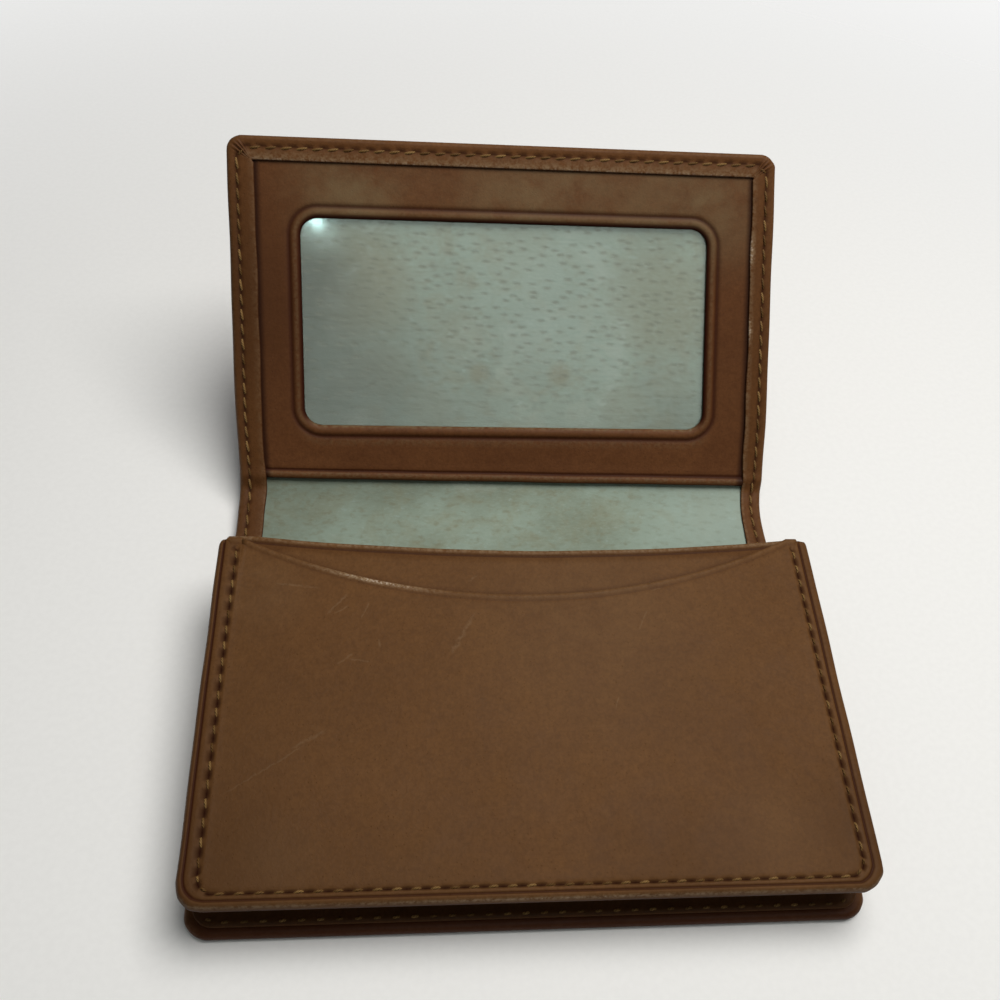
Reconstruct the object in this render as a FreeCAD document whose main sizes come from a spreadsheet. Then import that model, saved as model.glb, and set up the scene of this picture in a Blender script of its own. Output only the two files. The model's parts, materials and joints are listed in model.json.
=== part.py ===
import FreeCAD, Part
import math
import os
import Sketcher

# Leather card case with an ID window, half open as it lies on a table. +X runs across it, +Y towards
# the folds, +Z up. The origin is the centre of the back panel's outer face, which rests on the table.
# Millimetres.

DIMENSIONS = {
    # Cover: back, spine and flap, measured to the two fold axes
    "cover_width": 104.0,
    "panel_length": 65.8,
    "spine_height": 20.0,
    "spine_angle": 6.0,
    "flap_angle": 48.0,
    "cover_thickness": 1.0,
    "lining_thickness": 0.4,
    "hem_thickness": 0.5,
    "hem_width": 4.6,
    "fold_margin": 1.2,
    "edge_roll": 0.9,
    "back_corner": 4.0,
    "flap_corner": 2.5,
    "fold_clearance": 0.2,
    "layer_clearance": 0.2,
    # Window flap
    "card_gap": 0.4,
    "film_thickness": 0.2,
    "film_margin": 3.0,
    "frame_thickness": 0.7,
    "frame_setback": 0.3,
    "window_width": 77.8,
    "window_height": 39.0,
    "window_rise": 12.2,
    "window_corner": 2.5,
    "window_crease_offset": 2.0,
    "edge_crease_offset": 1.6,
    "crease_width": 0.5,
    "crease_depth": 0.2,
    # Pocket, which slopes up from its front seam to its mouth
    "pocket_width": 104.0,
    "pocket_length": 61.5,
    "pocket_setback": 1.1,
    "pocket_lift": 8.5,
    "pocket_angle": 5.0,
    "pocket_corner": 4.0,
    "mouth_corner": 1.6,
    "mouth_bow": 1.8,
    "scoop_width": 93.0,
    "scoop_depth": 10.4,
    "scoop_thickness": 0.8,
    "wall_thickness": 0.8,
    "lining_drop": 1.5,
    "roll_crease_inset": 1.2,
    # Gusset, a strip with one inward pleat between two sewn flanges
    "gusset_thickness": 0.5,
    "gusset_leaf": 7.0,
    "gusset_wall": 1.0,
    "gusset_inset": 3.2,
    "gusset_setback": 1.0,
    "flange_inset": 1.3,
    "seat_gap": 0.1,
    # Seams
    "stitch_inset": 2.0,
    "pocket_stitch_inset": 2.3,
    "stitch_pitch": 2.8,
    "stitch_length": 2.2,
    "stitch_slant": 6.0,
    "thread_width": 0.45,
    "thread_height": 0.28,
    "thread_clearance": 0.05,
    "groove_width": 1.0,
    "groove_depth": 0.36,
}

doc = FreeCAD.newDocument("card_case")
sheet = doc.addObject("Spreadsheet::Sheet", "params")
for row, (alias, number) in enumerate(DIMENSIONS.items(), start=1):
    sheet.set(f"A{row}", alias)
    sheet.set(f"B{row}", str(number))
    sheet.setAlias(f"B{row}", alias)
doc.recompute()

# Sizes that several pieces share, as expressions of the sheet's cells
HALF_WIDTH = "(params.cover_width / 2)"
HALF_PANEL = "(params.panel_length / 2)"
HALF_COVER = "(params.cover_thickness / 2)"
FOLD_END = f"({HALF_COVER} + params.fold_clearance)"
LAYER_INSET = "(params.fold_margin + params.layer_clearance)"
BACK_FRONT = f"(0 - {HALF_PANEL})"
BACK_REAR = f"({HALF_PANEL} - {FOLD_END})"
LINED_STACK = "(params.lining_thickness + params.hem_thickness)"
BACK_STACK = f"(params.cover_thickness + {LINED_STACK})"
FLAP_LAYERS = "(params.lining_thickness + params.card_gap + params.film_thickness + params.frame_thickness)"
FLAP_STACK = f"(params.cover_thickness + {FLAP_LAYERS} + params.hem_thickness)"
FRAME_TOP = f"({HALF_COVER} + {FLAP_LAYERS})"
FRAME_START = f"({FRAME_TOP} + params.fold_clearance + params.frame_setback)"
HALF_POCKET = "(params.pocket_width / 2)"
POCKET_FRONT = f"(params.pocket_setback - {HALF_PANEL})"
POCKET_LAYERS = "(params.lining_thickness + params.wall_thickness + params.card_gap)"
POCKET_STACK = f"(params.hem_thickness + {POCKET_LAYERS} + params.scoop_thickness)"

# Where each rigid group stands: its y, its z and its turn about X
BACK_PLACE = ("0", "0", "0")
SPINE_PLACE = (HALF_PANEL, HALF_COVER, "params.spine_angle")
FLAP_PLACE = (
    f"{HALF_PANEL} + params.spine_height * cos(params.spine_angle * 1 deg)",
    f"{HALF_COVER} + params.spine_height * sin(params.spine_angle * 1 deg)",
    "params.flap_angle",
)
POCKET_PLACE = (POCKET_FRONT, "params.pocket_lift", "params.pocket_angle")


# Sketching
def value(expression):
    return float(sheet.evalExpression(expression))


def vector(x, y, z="0"):
    return FreeCAD.Vector(value(x), value(y), value(z))


def turned_place(y, z, angle):
    turn = FreeCAD.Rotation(FreeCAD.Vector(1, 0, 0), value(angle))
    return FreeCAD.Placement(vector("0", y, z), turn)


def new_sketch(body, name, role="XY_Plane", lift="0", forward="0", tilt="0"):
    """Sketch on one of the body's own planes, moved along it, off it and tilted about X."""
    plane = next(f for f in body.Origin.OriginFeatures if f.Role == role)
    sketch = body.newObject("Sketcher::SketchObject", name)
    sketch.AttachmentSupport = [(plane, "")]
    sketch.MapMode = "FlatFace"
    sketch.AttachmentOffset = turned_place(forward, lift, tilt)
    sketch.setExpression("AttachmentOffset.Base.y", forward)
    sketch.setExpression("AttachmentOffset.Base.z", lift)
    return sketch


def bind(sketch, constraint, expression):
    index = sketch.addConstraint(constraint)
    sketch.setExpression(f"Constraints[{index}]", expression)


def fix_point(sketch, geometry, point, x, y):
    bind(sketch, Sketcher.Constraint("DistanceX", -1, 1, geometry, point, value(x)), x)
    bind(sketch, Sketcher.Constraint("DistanceY", -1, 1, geometry, point, value(y)), y)


def add_line(sketch, start, stop):
    return sketch.addGeometry(Part.LineSegment(start, stop), False)


def add_arc(sketch, start, middle, stop):
    """Arc, with the numbers of its first and last points in the order given."""
    arc = sketch.addGeometry(Part.Arc(start, middle, stop), False)
    forward = (sketch.getPoint(arc, 1) - start).Length < (sketch.getPoint(arc, 2) - start).Length
    return (arc, 1, 2) if forward else (arc, 2, 1)


def draw_loop(sketch, corners):
    """Closed outline through (x, y) corners, or (x, y, radius) for a rounded right-angled one."""
    spots = [vector(c[0], c[1]) for c in corners]
    count = len(corners)
    into, away = [], []
    for i, corner in enumerate(corners):
        reach = value(corner[2]) if len(corner) > 2 else 0.0
        into.append((spots[i - 1] - spots[i]).normalize() * reach)
        away.append((spots[(i + 1) % count] - spots[i]).normalize() * reach)
    lines = []
    for i in range(count):
        after = (i + 1) % count
        lines.append(add_line(sketch, spots[i] + away[i], spots[after] + into[after]))
    for i, corner in enumerate(corners):
        before, after = lines[i - 1], lines[i]
        if len(corner) == 2:
            sketch.addConstraint(Sketcher.Constraint("Coincident", before, 2, after, 1))
            fix_point(sketch, after, 1, corner[0], corner[1])
            continue
        x, y, radius = corner
        inward = into[i] + away[i]
        centre = spots[i] + inward
        middle = centre - inward.normalize() * value(radius)
        arc, first, last = add_arc(sketch, spots[i] + into[i], middle, spots[i] + away[i])
        sketch.addConstraint(Sketcher.Constraint("Tangent", before, 2, arc, first))
        sketch.addConstraint(Sketcher.Constraint("Tangent", after, 1, arc, last))
        bind(sketch, Sketcher.Constraint("Radius", arc, value(radius)), radius)
        x_side = "+" if centre.x > spots[i].x else "-"
        y_side = "+" if centre.y > spots[i].y else "-"
        fix_point(sketch, arc, 3, f"{x} {x_side} {radius}", f"{y} {y_side} {radius}")


def draw_bowed(sketch, half, edge, bow, other):
    """Outline between an arc that dips from (half, edge) on both sides and a straight edge at other."""
    left = f"0 - {half}"
    dip = vector("0", f"{edge} - {bow}")
    arc, first, last = add_arc(sketch, vector(left, edge), dip, vector(half, edge))
    radius = f"(({half} ^ 2 + {bow} ^ 2) / (2 * {bow}))"
    spots = [(half, edge), (half, other), (left, other), (left, edge)]
    lines = [add_line(sketch, vector(*a), vector(*b)) for a, b in zip(spots, spots[1:])]
    sketch.addConstraint(Sketcher.Constraint("Coincident", arc, last, lines[0], 1))
    sketch.addConstraint(Sketcher.Constraint("Coincident", lines[0], 2, lines[1], 1))
    sketch.addConstraint(Sketcher.Constraint("Coincident", lines[1], 2, lines[2], 1))
    sketch.addConstraint(Sketcher.Constraint("Coincident", lines[2], 2, arc, first))
    for line, spot in zip(lines, spots):
        fix_point(sketch, line, 1, *spot)
    fix_point(sketch, lines[2], 2, *spots[3])
    bind(sketch, Sketcher.Constraint("Radius", arc, value(radius)), radius)


def draw_round_ended(sketch, length, radius):
    """Strip along the sketch's first axis, from 0 to length, with a half-round at each end."""
    below = f"0 - {radius}"
    past = f"{length} + {radius}"
    under = add_line(sketch, vector("0", below), vector(length, below))
    over = add_line(sketch, vector(length, radius), vector("0", radius))
    right = add_arc(sketch, vector(length, below), vector(past, "0"), vector(length, radius))
    left = add_arc(sketch, vector("0", radius), vector(below, "0"), vector("0", below))
    for before, (arc, first, last), after in ((under, right, over), (over, left, under)):
        sketch.addConstraint(Sketcher.Constraint("Tangent", before, 2, arc, first))
        sketch.addConstraint(Sketcher.Constraint("Tangent", after, 1, arc, last))
    fix_point(sketch, left[0], 3, "0", "0")
    fix_point(sketch, right[0], 3, length, "0")
    bind(sketch, Sketcher.Constraint("Radius", left[0], value(radius)), radius)


def rectangle(half, near, far):
    left = f"0 - {half}"
    return [(left, near), (half, near), (half, far), (left, far)]


def band(half, closed_end, inside, open_end, near, far, corner=None):
    """Corners of a U-shaped band between two insets of a panel, inside being the sign to its middle."""
    corners = []
    for inset, sides in ((near, ("0 -", "")), (far, ("", "0 -"))):
        x = f"({half} - {inset})"
        y = f"({closed_end} {inside} {inset})"
        rounding = (f"max({corner} - {inset}; params.layer_clearance)",) if corner else ()
        corners.append((f"{sides[0]} {x}", open_end))
        corners.append((f"{sides[0]} {x}", y, *rounding))
        corners.append((f"{sides[1]} {x}", y, *rounding))
        corners.append((f"{sides[1]} {x}", open_end))
    return corners


# Features
def new_body(name):
    body = doc.addObject("PartDesign::Body", name)
    body.Label = name
    return body


def pad(body, sketch, length, down=False, symmetric=False):
    feature = body.newObject("PartDesign::Pad", f"{sketch.Name}_pad")
    feature.Profile = sketch
    feature.setExpression("Length", length)
    feature.Reversed = down
    feature.SideType = "Symmetric" if symmetric else "One side"
    doc.recompute()
    return feature


def cut(body, sketch, depth, up=False, symmetric=False):
    before = body.Shape.Volume
    feature = body.newObject("PartDesign::Pocket", f"{sketch.Name}_cut")
    feature.Profile = sketch
    feature.setExpression("Length", depth)
    feature.Reversed = up
    feature.SideType = "Symmetric" if symmetric else "One side"
    doc.recompute()
    if not body.Shape.Volume < before:
        raise ValueError(f"{feature.Name} cuts nothing")
    return feature


def round_edges(body, base, radius, chosen):
    """Round the edges of a feature that the test picks."""
    names = [f"Edge{i}" for i, edge in enumerate(base.Shape.Edges, start=1) if chosen(edge)]
    feature = body.newObject("PartDesign::Fillet", f"{base.Name}_round")
    feature.Base = (base, names)
    feature.setExpression("Radius", radius)
    doc.recompute()
    return feature


def loft(body, kind, name, sketches):
    feature = body.newObject(f"PartDesign::{kind}", name)
    feature.Profile = sketches[0]
    feature.Sections = sketches[1:]
    feature.Ruled = True
    doc.recompute()
    return feature


def settle(thing, place):
    """Stand a finished piece where its group is."""
    thing.Placement = turned_place(*place)
    if thing.isDerivedFrom("PartDesign::Body"):
        thing.setExpression("Placement.Base.y", place[0])
        thing.setExpression("Placement.Base.z", place[1])
    return thing


def outer_rim(open_end, lower, upper):
    """Test for the edges round a panel's two faces, without those at its open end."""
    end, levels = value(open_end), (value(lower), value(upper))
    near = value("params.layer_clearance") / 2

    def chosen(edge):
        box = edge.BoundBox
        flat = box.ZLength < near and min(abs(box.ZMin - level) for level in levels) < near
        return flat and not (abs(box.YMin - end) < near and abs(box.YMax - end) < near)

    return chosen


def mitre(body, name, fold_y, side, level, rise):
    """Cut the layers above the cover at 45 degrees, so that they clear those beyond the fold."""
    sketch = new_sketch(body, name, "YZ_Plane")
    top = f"{level} + {rise} + params.hem_thickness"
    start = f"{fold_y} {side} {FOLD_END}"
    draw_loop(sketch, [
        (start, level),
        (f"{start} {side} ({rise} + params.hem_thickness)", top),
        (fold_y, top),
        (fold_y, level),
    ])
    return cut(body, sketch, "params.cover_width * 2", symmetric=True)


# Back panel
def back_cover():
    body = new_body("back_cover")
    outline = new_sketch(body, "back_outline")
    left = f"0 - {HALF_WIDTH}"
    draw_loop(outline, [
        (left, BACK_FRONT, "params.back_corner"),
        (HALF_WIDTH, BACK_FRONT, "params.back_corner"),
        (HALF_WIDTH, BACK_REAR),
        (left, BACK_REAR),
    ])
    plate = pad(body, outline, BACK_STACK)
    roll = f"min(params.edge_roll; {BACK_STACK} / 2 - params.seat_gap)"
    round_edges(body, plate, roll, outer_rim(BACK_REAR, "0", BACK_STACK))
    inside = new_sketch(body, "back_hem_window", lift=BACK_STACK)
    draw_loop(inside, rectangle(f"({HALF_WIDTH} - params.hem_width)",
                                f"params.hem_width - {HALF_PANEL}", HALF_PANEL))
    cut(body, inside, LINED_STACK)
    slot = new_sketch(body, "back_lining_slot", lift="params.cover_thickness")
    draw_loop(slot, rectangle(f"({HALF_WIDTH} - params.fold_margin)",
                              f"params.fold_margin - {HALF_PANEL}", HALF_PANEL))
    cut(body, slot, "params.lining_thickness", up=True)
    mitre(body, "back_mitre", HALF_PANEL, "-", "params.cover_thickness", LINED_STACK)
    groove = new_sketch(body, "back_groove")
    draw_loop(groove, band(HALF_WIDTH, BACK_FRONT, "+", HALF_PANEL,
                           "(params.stitch_inset - params.groove_width / 2)",
                           "(params.stitch_inset + params.groove_width / 2)", "params.back_corner"))
    cut(body, groove, "params.groove_depth", up=True)
    return settle(body, BACK_PLACE)


def back_lining():
    body = new_body("back_lining")
    outline = new_sketch(body, "back_lining_outline", lift="params.cover_thickness")
    half = f"({HALF_WIDTH} - {LAYER_INSET})"
    draw_loop(outline, rectangle(half, f"{LAYER_INSET} - {HALF_PANEL}", BACK_REAR))
    pad(body, outline, "params.lining_thickness")
    mitre(body, "back_lining_mitre", HALF_PANEL, "-", "params.cover_thickness", "params.lining_thickness")
    return settle(body, BACK_PLACE)


# Gusset
GAP_FRONT = f"(params.pocket_lift - params.seat_gap - {BACK_STACK})"
GAP_MOUTH = f"({GAP_FRONT} + params.pocket_length * sin(params.pocket_angle * 1 deg))"
GUSSET_LENGTH = "(params.pocket_length - params.gusset_setback)"
GUSSET_END = f"({POCKET_FRONT} + {GUSSET_LENGTH})"
PLEAT_FRONT = f"sqrt(max(params.gusset_leaf ^ 2 - ({GAP_FRONT} / 2) ^ 2; params.gusset_wall ^ 2))"
PLEAT_MOUTH = f"sqrt(max(params.gusset_leaf ^ 2 - ({GAP_MOUTH} / 2) ^ 2; params.gusset_wall ^ 2))"


def gusset():
    """Pleated strip: a loft from the back's sewn line in to the pleat and out to the pocket's one."""
    body = new_body("gusset")
    levels = [
        ("low", BACK_STACK, BACK_FRONT, "0", HALF_WIDTH, "0", "0"),
        ("pleat", f"{BACK_STACK} + {GAP_FRONT} / 2", f"{BACK_FRONT} + params.pocket_setback / 2",
         "params.pocket_angle / 2", HALF_WIDTH, PLEAT_FRONT, PLEAT_MOUTH),
        ("high", f"{BACK_STACK} + {GAP_FRONT}", POCKET_FRONT, "params.pocket_angle", HALF_POCKET,
         "0", "0"),
    ]
    faces = {"outside": [], "inside": []}
    for face, wall, reach in (
            ("outside", "0", "0"),
            ("inside", "params.gusset_wall", "params.gusset_wall * 2")):
        for name, lift, forward, tilt, half, at_front, at_mouth in levels:
            sketch = new_sketch(body, f"gusset_{face}_{name}", lift=lift, forward=forward, tilt=tilt)
            inset = f"params.gusset_inset + {wall}"
            front_x = f"({half} - ({inset} + {at_front}))"
            mouth_x = f"({half} - ({inset} + {at_mouth}))"
            front_y = f"{inset} + {at_front}"
            mouth_y = f"{GUSSET_END} - ({forward}) + {reach}"
            draw_loop(sketch, [
                (f"0 - {front_x}", front_y),
                (front_x, front_y),
                (mouth_x, mouth_y),
                (f"0 - {mouth_x}", mouth_y),
            ])
            faces[face].append(sketch)
    loft(body, "AdditiveLoft", "gusset_core", faces["outside"])
    loft(body, "SubtractiveLoft", "gusset_hollow", faces["inside"])
    for name, lift, forward, tilt, half, corner, down in (
            ("lower", BACK_STACK, BACK_FRONT, "0", HALF_WIDTH, "params.back_corner", False),
            ("upper", f"{BACK_STACK} + {GAP_FRONT}", POCKET_FRONT, "params.pocket_angle", HALF_POCKET,
             "params.pocket_corner", True)):
        flange = new_sketch(body, f"gusset_{name}_flange", lift=lift, forward=forward, tilt=tilt)
        draw_loop(flange, band(half, "0", "+", f"{GUSSET_END} - ({forward})", "params.flange_inset",
                               "(params.gusset_inset + params.gusset_wall)", corner))
        pad(body, flange, "params.gusset_thickness", down=down)
    return settle(body, BACK_PLACE)


# Pocket
def scoop_panel():
    body = new_body("scoop_panel")
    outline = new_sketch(body, "pocket_outline")
    left = f"0 - {HALF_POCKET}"
    draw_loop(outline, [
        (left, "0", "params.pocket_corner"),
        (HALF_POCKET, "0", "params.pocket_corner"),
        (HALF_POCKET, "params.pocket_length", "params.mouth_corner"),
        (left, "params.pocket_length", "params.mouth_corner"),
    ])
    plate = pad(body, outline, POCKET_STACK)
    roll = f"min(params.edge_roll; {POCKET_STACK} / 2 - params.seat_gap)"
    round_edges(body, plate, roll, outer_rim("params.pocket_length", "0", POCKET_STACK))
    past_mouth = "params.pocket_length + params.hem_width"
    lip = new_sketch(body, "pocket_lip_window")
    draw_loop(lip, rectangle(f"({HALF_POCKET} - params.hem_width)", "params.hem_width", past_mouth))
    cut(body, lip, "params.hem_thickness", up=True)
    slot = new_sketch(body, "pocket_layer_slot", lift="params.hem_thickness")
    draw_loop(slot, rectangle(f"({HALF_POCKET} - params.fold_margin)", "params.fold_margin", past_mouth))
    cut(body, slot, POCKET_LAYERS, up=True)
    scoop = new_sketch(body, "pocket_scoop", lift=POCKET_STACK)
    draw_bowed(scoop, "(params.scoop_width / 2)", "params.pocket_length", "params.scoop_depth", past_mouth)
    cut(body, scoop, "params.scoop_thickness")
    groove = new_sketch(body, "pocket_groove", lift=POCKET_STACK)
    draw_loop(groove, band(HALF_POCKET, "0", "+", past_mouth,
                           "(params.pocket_stitch_inset - params.groove_width / 2)",
                           "(params.pocket_stitch_inset + params.groove_width / 2)",
                           "params.pocket_corner"))
    cut(body, groove, "params.groove_depth")
    crease = new_sketch(body, "pocket_roll_crease", lift=POCKET_STACK)
    draw_loop(crease, band(HALF_POCKET, "0", "+", past_mouth,
                           "(params.roll_crease_inset - params.crease_width / 2)",
                           "(params.roll_crease_inset + params.crease_width / 2)", "params.pocket_corner"))
    cut(body, crease, "params.crease_depth")
    return settle(body, POCKET_PLACE)


def pocket_wall():
    body = new_body("pocket_wall")
    half = f"({HALF_POCKET} - {LAYER_INSET})"
    under = "(params.hem_thickness + params.lining_thickness)"
    outline = new_sketch(body, "pocket_wall_outline", lift=under)
    draw_bowed(outline, half, "params.pocket_length", "params.mouth_bow", LAYER_INSET)
    pad(body, outline, "params.wall_thickness")
    crease = new_sketch(body, "pocket_wall_crease", lift=f"{under} + params.wall_thickness")
    low = "params.pocket_length - params.mouth_bow - params.edge_crease_offset"
    draw_loop(crease, rectangle(f"({half} - params.hem_width)", f"{low} - params.crease_width", low))
    cut(body, crease, "params.crease_depth")
    return settle(body, POCKET_PLACE)


def pocket_lining():
    body = new_body("pocket_lining")
    outline = new_sketch(body, "pocket_lining_outline", lift="params.hem_thickness")
    draw_bowed(outline, f"({HALF_POCKET} - {LAYER_INSET})", "(params.pocket_length - params.lining_drop)",
               "params.mouth_bow", LAYER_INSET)
    pad(body, outline, "params.lining_thickness")
    return settle(body, POCKET_PLACE)


# Spine
def spine_cover():
    """Strip with a round bead on each fold axis and a turned hem along each side."""
    body = new_body("spine_cover")
    strip = new_sketch(body, "spine_section", "YZ_Plane")
    draw_round_ended(strip, "params.spine_height", HALF_COVER)
    pad(body, strip, "params.cover_width", symmetric=True)
    top = f"{HALF_COVER} + {LINED_STACK}"
    for name, start in (("left", f"0 - {HALF_WIDTH}"), ("right", f"{HALF_WIDTH} - params.hem_width")):
        hem = new_sketch(body, f"spine_hem_{name}", "YZ_Plane", lift=start)
        draw_loop(hem, [
            (FOLD_END, HALF_COVER),
            (f"params.spine_height - {FOLD_END}", HALF_COVER),
            (f"params.spine_height - ({FOLD_END} + {LINED_STACK})", top),
            (f"{FOLD_END} + {LINED_STACK}", top),
        ])
        pad(body, hem, "params.hem_width")
    slot = new_sketch(body, "spine_lining_slot", "YZ_Plane")
    draw_loop(slot, [
        ("0", HALF_COVER),
        ("params.spine_height", HALF_COVER),
        ("params.spine_height", f"{HALF_COVER} + params.lining_thickness"),
        ("0", f"{HALF_COVER} + params.lining_thickness"),
    ])
    cut(body, slot, f"2 * ({HALF_WIDTH} - params.fold_margin)", symmetric=True)
    near = f"({HALF_WIDTH} - params.stitch_inset - params.groove_width / 2)"
    for face, lift, up in (("inner", top, False), ("outer", f"0 - {HALF_COVER}", True)):
        for name, low, high in (
                ("right", near, f"{near} + params.groove_width"),
                ("left", f"0 - {near} - params.groove_width", f"0 - {near}")):
            groove = new_sketch(body, f"spine_groove_{face}_{name}", lift=lift)
            draw_loop(groove, [
                (low, "0"),
                (high, "0"),
                (high, "params.spine_height"),
                (low, "params.spine_height"),
            ])
            cut(body, groove, "params.groove_depth", up=up)
    return settle(body, SPINE_PLACE)


def spine_lining():
    body = new_body("spine_lining")
    section = new_sketch(body, "spine_lining_section", "YZ_Plane")
    top = f"{HALF_COVER} + params.lining_thickness"
    draw_loop(section, [
        (FOLD_END, HALF_COVER),
        (f"params.spine_height - {FOLD_END}", HALF_COVER),
        (f"params.spine_height - ({FOLD_END} + params.lining_thickness)", top),
        (f"{FOLD_END} + params.lining_thickness", top),
    ])
    pad(body, section, f"2 * ({HALF_WIDTH} - {LAYER_INSET})", symmetric=True)
    return settle(body, SPINE_PLACE)


# Flap
def flap_cover():
    body = new_body("flap_cover")
    outer_face = f"0 - {HALF_COVER}"
    top = f"{outer_face} + {FLAP_STACK}"
    outline = new_sketch(body, "flap_outline", lift=outer_face)
    left = f"0 - {HALF_WIDTH}"
    draw_loop(outline, [
        (left, FOLD_END),
        (HALF_WIDTH, FOLD_END),
        (HALF_WIDTH, "params.panel_length", "params.flap_corner"),
        (left, "params.panel_length", "params.flap_corner"),
    ])
    plate = pad(body, outline, FLAP_STACK)
    roll = f"min(params.edge_roll; {FLAP_STACK} / 2 - params.seat_gap)"
    round_edges(body, plate, roll, outer_rim(FOLD_END, outer_face, top))
    inside = new_sketch(body, "flap_hem_window", lift=top)
    draw_loop(inside, rectangle(f"({HALF_WIDTH} - params.hem_width)", "0",
                                "params.panel_length - params.hem_width"))
    cut(body, inside, f"{FLAP_LAYERS} + params.hem_thickness")
    slot = new_sketch(body, "flap_layer_slot", lift=HALF_COVER)
    draw_loop(slot, rectangle(f"({HALF_WIDTH} - params.fold_margin)", "0",
                              "params.panel_length - params.fold_margin"))
    cut(body, slot, FLAP_LAYERS, up=True)
    mitre(body, "flap_mitre", "0", "+", HALF_COVER, f"({FLAP_LAYERS} + params.hem_thickness)")
    for face, lift, up in (("inner", top, False), ("outer", outer_face, True)):
        groove = new_sketch(body, f"flap_groove_{face}", lift=lift)
        draw_loop(groove, band(HALF_WIDTH, "params.panel_length", "-", "0",
                               "(params.stitch_inset - params.groove_width / 2)",
                               "(params.stitch_inset + params.groove_width / 2)"))
        cut(body, groove, "params.groove_depth", up=up)
    return settle(body, FLAP_PLACE)


def flap_lining():
    body = new_body("flap_lining")
    outline = new_sketch(body, "flap_lining_outline", lift=HALF_COVER)
    half = f"({HALF_WIDTH} - {LAYER_INSET})"
    draw_loop(outline, rectangle(half, FOLD_END, f"params.panel_length - {LAYER_INSET}"))
    pad(body, outline, "params.lining_thickness")
    mitre(body, "flap_lining_mitre", "0", "+", HALF_COVER, "params.lining_thickness")
    return settle(body, FLAP_PLACE)


def window_loop(offset):
    """Rounded outline at an offset outside the window opening."""
    half = f"(params.window_width / 2 + {offset})"
    low = f"params.window_rise - {offset}"
    high = f"params.window_rise + params.window_height + {offset}"
    return [(*spot, f"(params.window_corner + {offset})") for spot in rectangle(half, low, high)]


def window_frame():
    body = new_body("window_frame")
    outline = new_sketch(body, "frame_outline", lift=f"{FRAME_TOP} - params.frame_thickness")
    half = f"({HALF_WIDTH} - {LAYER_INSET})"
    draw_loop(outline, rectangle(half, FRAME_START, f"params.panel_length - {LAYER_INSET}"))
    pad(body, outline, "params.frame_thickness")
    opening = new_sketch(body, "frame_opening", lift=FRAME_TOP)
    draw_loop(opening, window_loop("0"))
    cut(body, opening, "params.frame_thickness")
    ring = new_sketch(body, "frame_window_crease", lift=FRAME_TOP)
    draw_loop(ring, window_loop("params.window_crease_offset"))
    draw_loop(ring, window_loop("(params.window_crease_offset + params.crease_width)"))
    cut(body, ring, "params.crease_depth")
    lower = new_sketch(body, "frame_lower_crease", lift=FRAME_TOP)
    low = f"{FRAME_START} + params.edge_crease_offset"
    draw_loop(lower, rectangle(f"({HALF_WIDTH} - params.hem_width)", low, f"{low} + params.crease_width"))
    cut(body, lower, "params.crease_depth")
    return settle(body, FLAP_PLACE)


def window_film():
    body = new_body("window_film")
    outline = new_sketch(body, "film_outline", lift=f"{FRAME_TOP} - params.frame_thickness")
    draw_loop(outline, rectangle("(params.window_width / 2 + params.film_margin)",
                                 "params.window_rise - params.film_margin",
                                 "params.window_rise + params.window_height + params.film_margin"))
    pad(body, outline, "params.film_thickness", down=True)
    return settle(body, FLAP_PLACE)


# Seams
def straight_run(start, stop):
    """Middles, headings and lengths of whole stitches along a straight stretch."""
    step_count = max(1, round((stop - start).Length / value("params.stitch_pitch")))
    step = (stop - start) / step_count
    heading = math.degrees(math.atan2(step.y, step.x))
    return [(start + step * (i + 0.5), heading, step.Length) for i in range(step_count)]


def corner_run(centre, radius, start_angle, sweep):
    """The same round a corner, in short stitches that keep to its arc."""
    step_count = max(2, round(radius * math.radians(abs(sweep)) / value("params.stitch_pitch")))
    turn = sweep / step_count
    run = []
    for i in range(step_count):
        angle = math.radians(start_angle + turn * (i + 0.5))
        spot = centre + FreeCAD.Vector(math.cos(angle), math.sin(angle), 0) * radius
        heading = math.degrees(angle) + math.copysign(90, sweep)
        run.append((spot, heading, radius * math.radians(abs(turn))))
    return run


def u_run(half, open_end, closed_end, radius):
    """Stitches down the left side of a panel, along its closed end and up the right side."""
    x, y0, y1, r = value(half), value(open_end), value(closed_end), value(radius)
    way = math.copysign(1, y1 - y0)
    left = straight_run(FreeCAD.Vector(-x, y0, 0), FreeCAD.Vector(-x, y1 - way * r, 0))
    end = straight_run(FreeCAD.Vector(r - x, y1, 0), FreeCAD.Vector(x - r, y1, 0))
    right = straight_run(FreeCAD.Vector(x, y1 - way * r, 0), FreeCAD.Vector(x, y0, 0))
    if not r:
        return left + end + right
    first = corner_run(FreeCAD.Vector(r - x, y1 - way * r, 0), r, 180, -90 * way)
    second = corner_run(FreeCAD.Vector(x - r, y1 - way * r, 0), r, 90 * way, -90 * way)
    return left + first + end + second + right


def seam(name, run, bottom, place):
    """One thread of a seam: every stitch is a short slanted bar of its own."""
    width, height = value("params.thread_width"), value("params.thread_height")
    share = value("params.stitch_length") / value("params.stitch_pitch")
    slant = value("params.stitch_slant")
    bars = []
    for middle, heading, step in run:
        bar = Part.makeBox(step * share, width, height, FreeCAD.Vector(-step * share / 2, -width / 2, 0))
        turn = FreeCAD.Rotation(FreeCAD.Vector(0, 0, 1), heading + slant)
        bar.Placement = FreeCAD.Placement(middle + FreeCAD.Vector(0, 0, value(bottom)), turn)
        bars.append(bar)
    thread = doc.addObject("Part::Feature", name)
    thread.Label = name
    thread.Shape = Part.makeCompound(bars)
    return settle(thread, place)


THREAD_IN_GROOVE = "(params.groove_depth - params.thread_clearance)"


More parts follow.
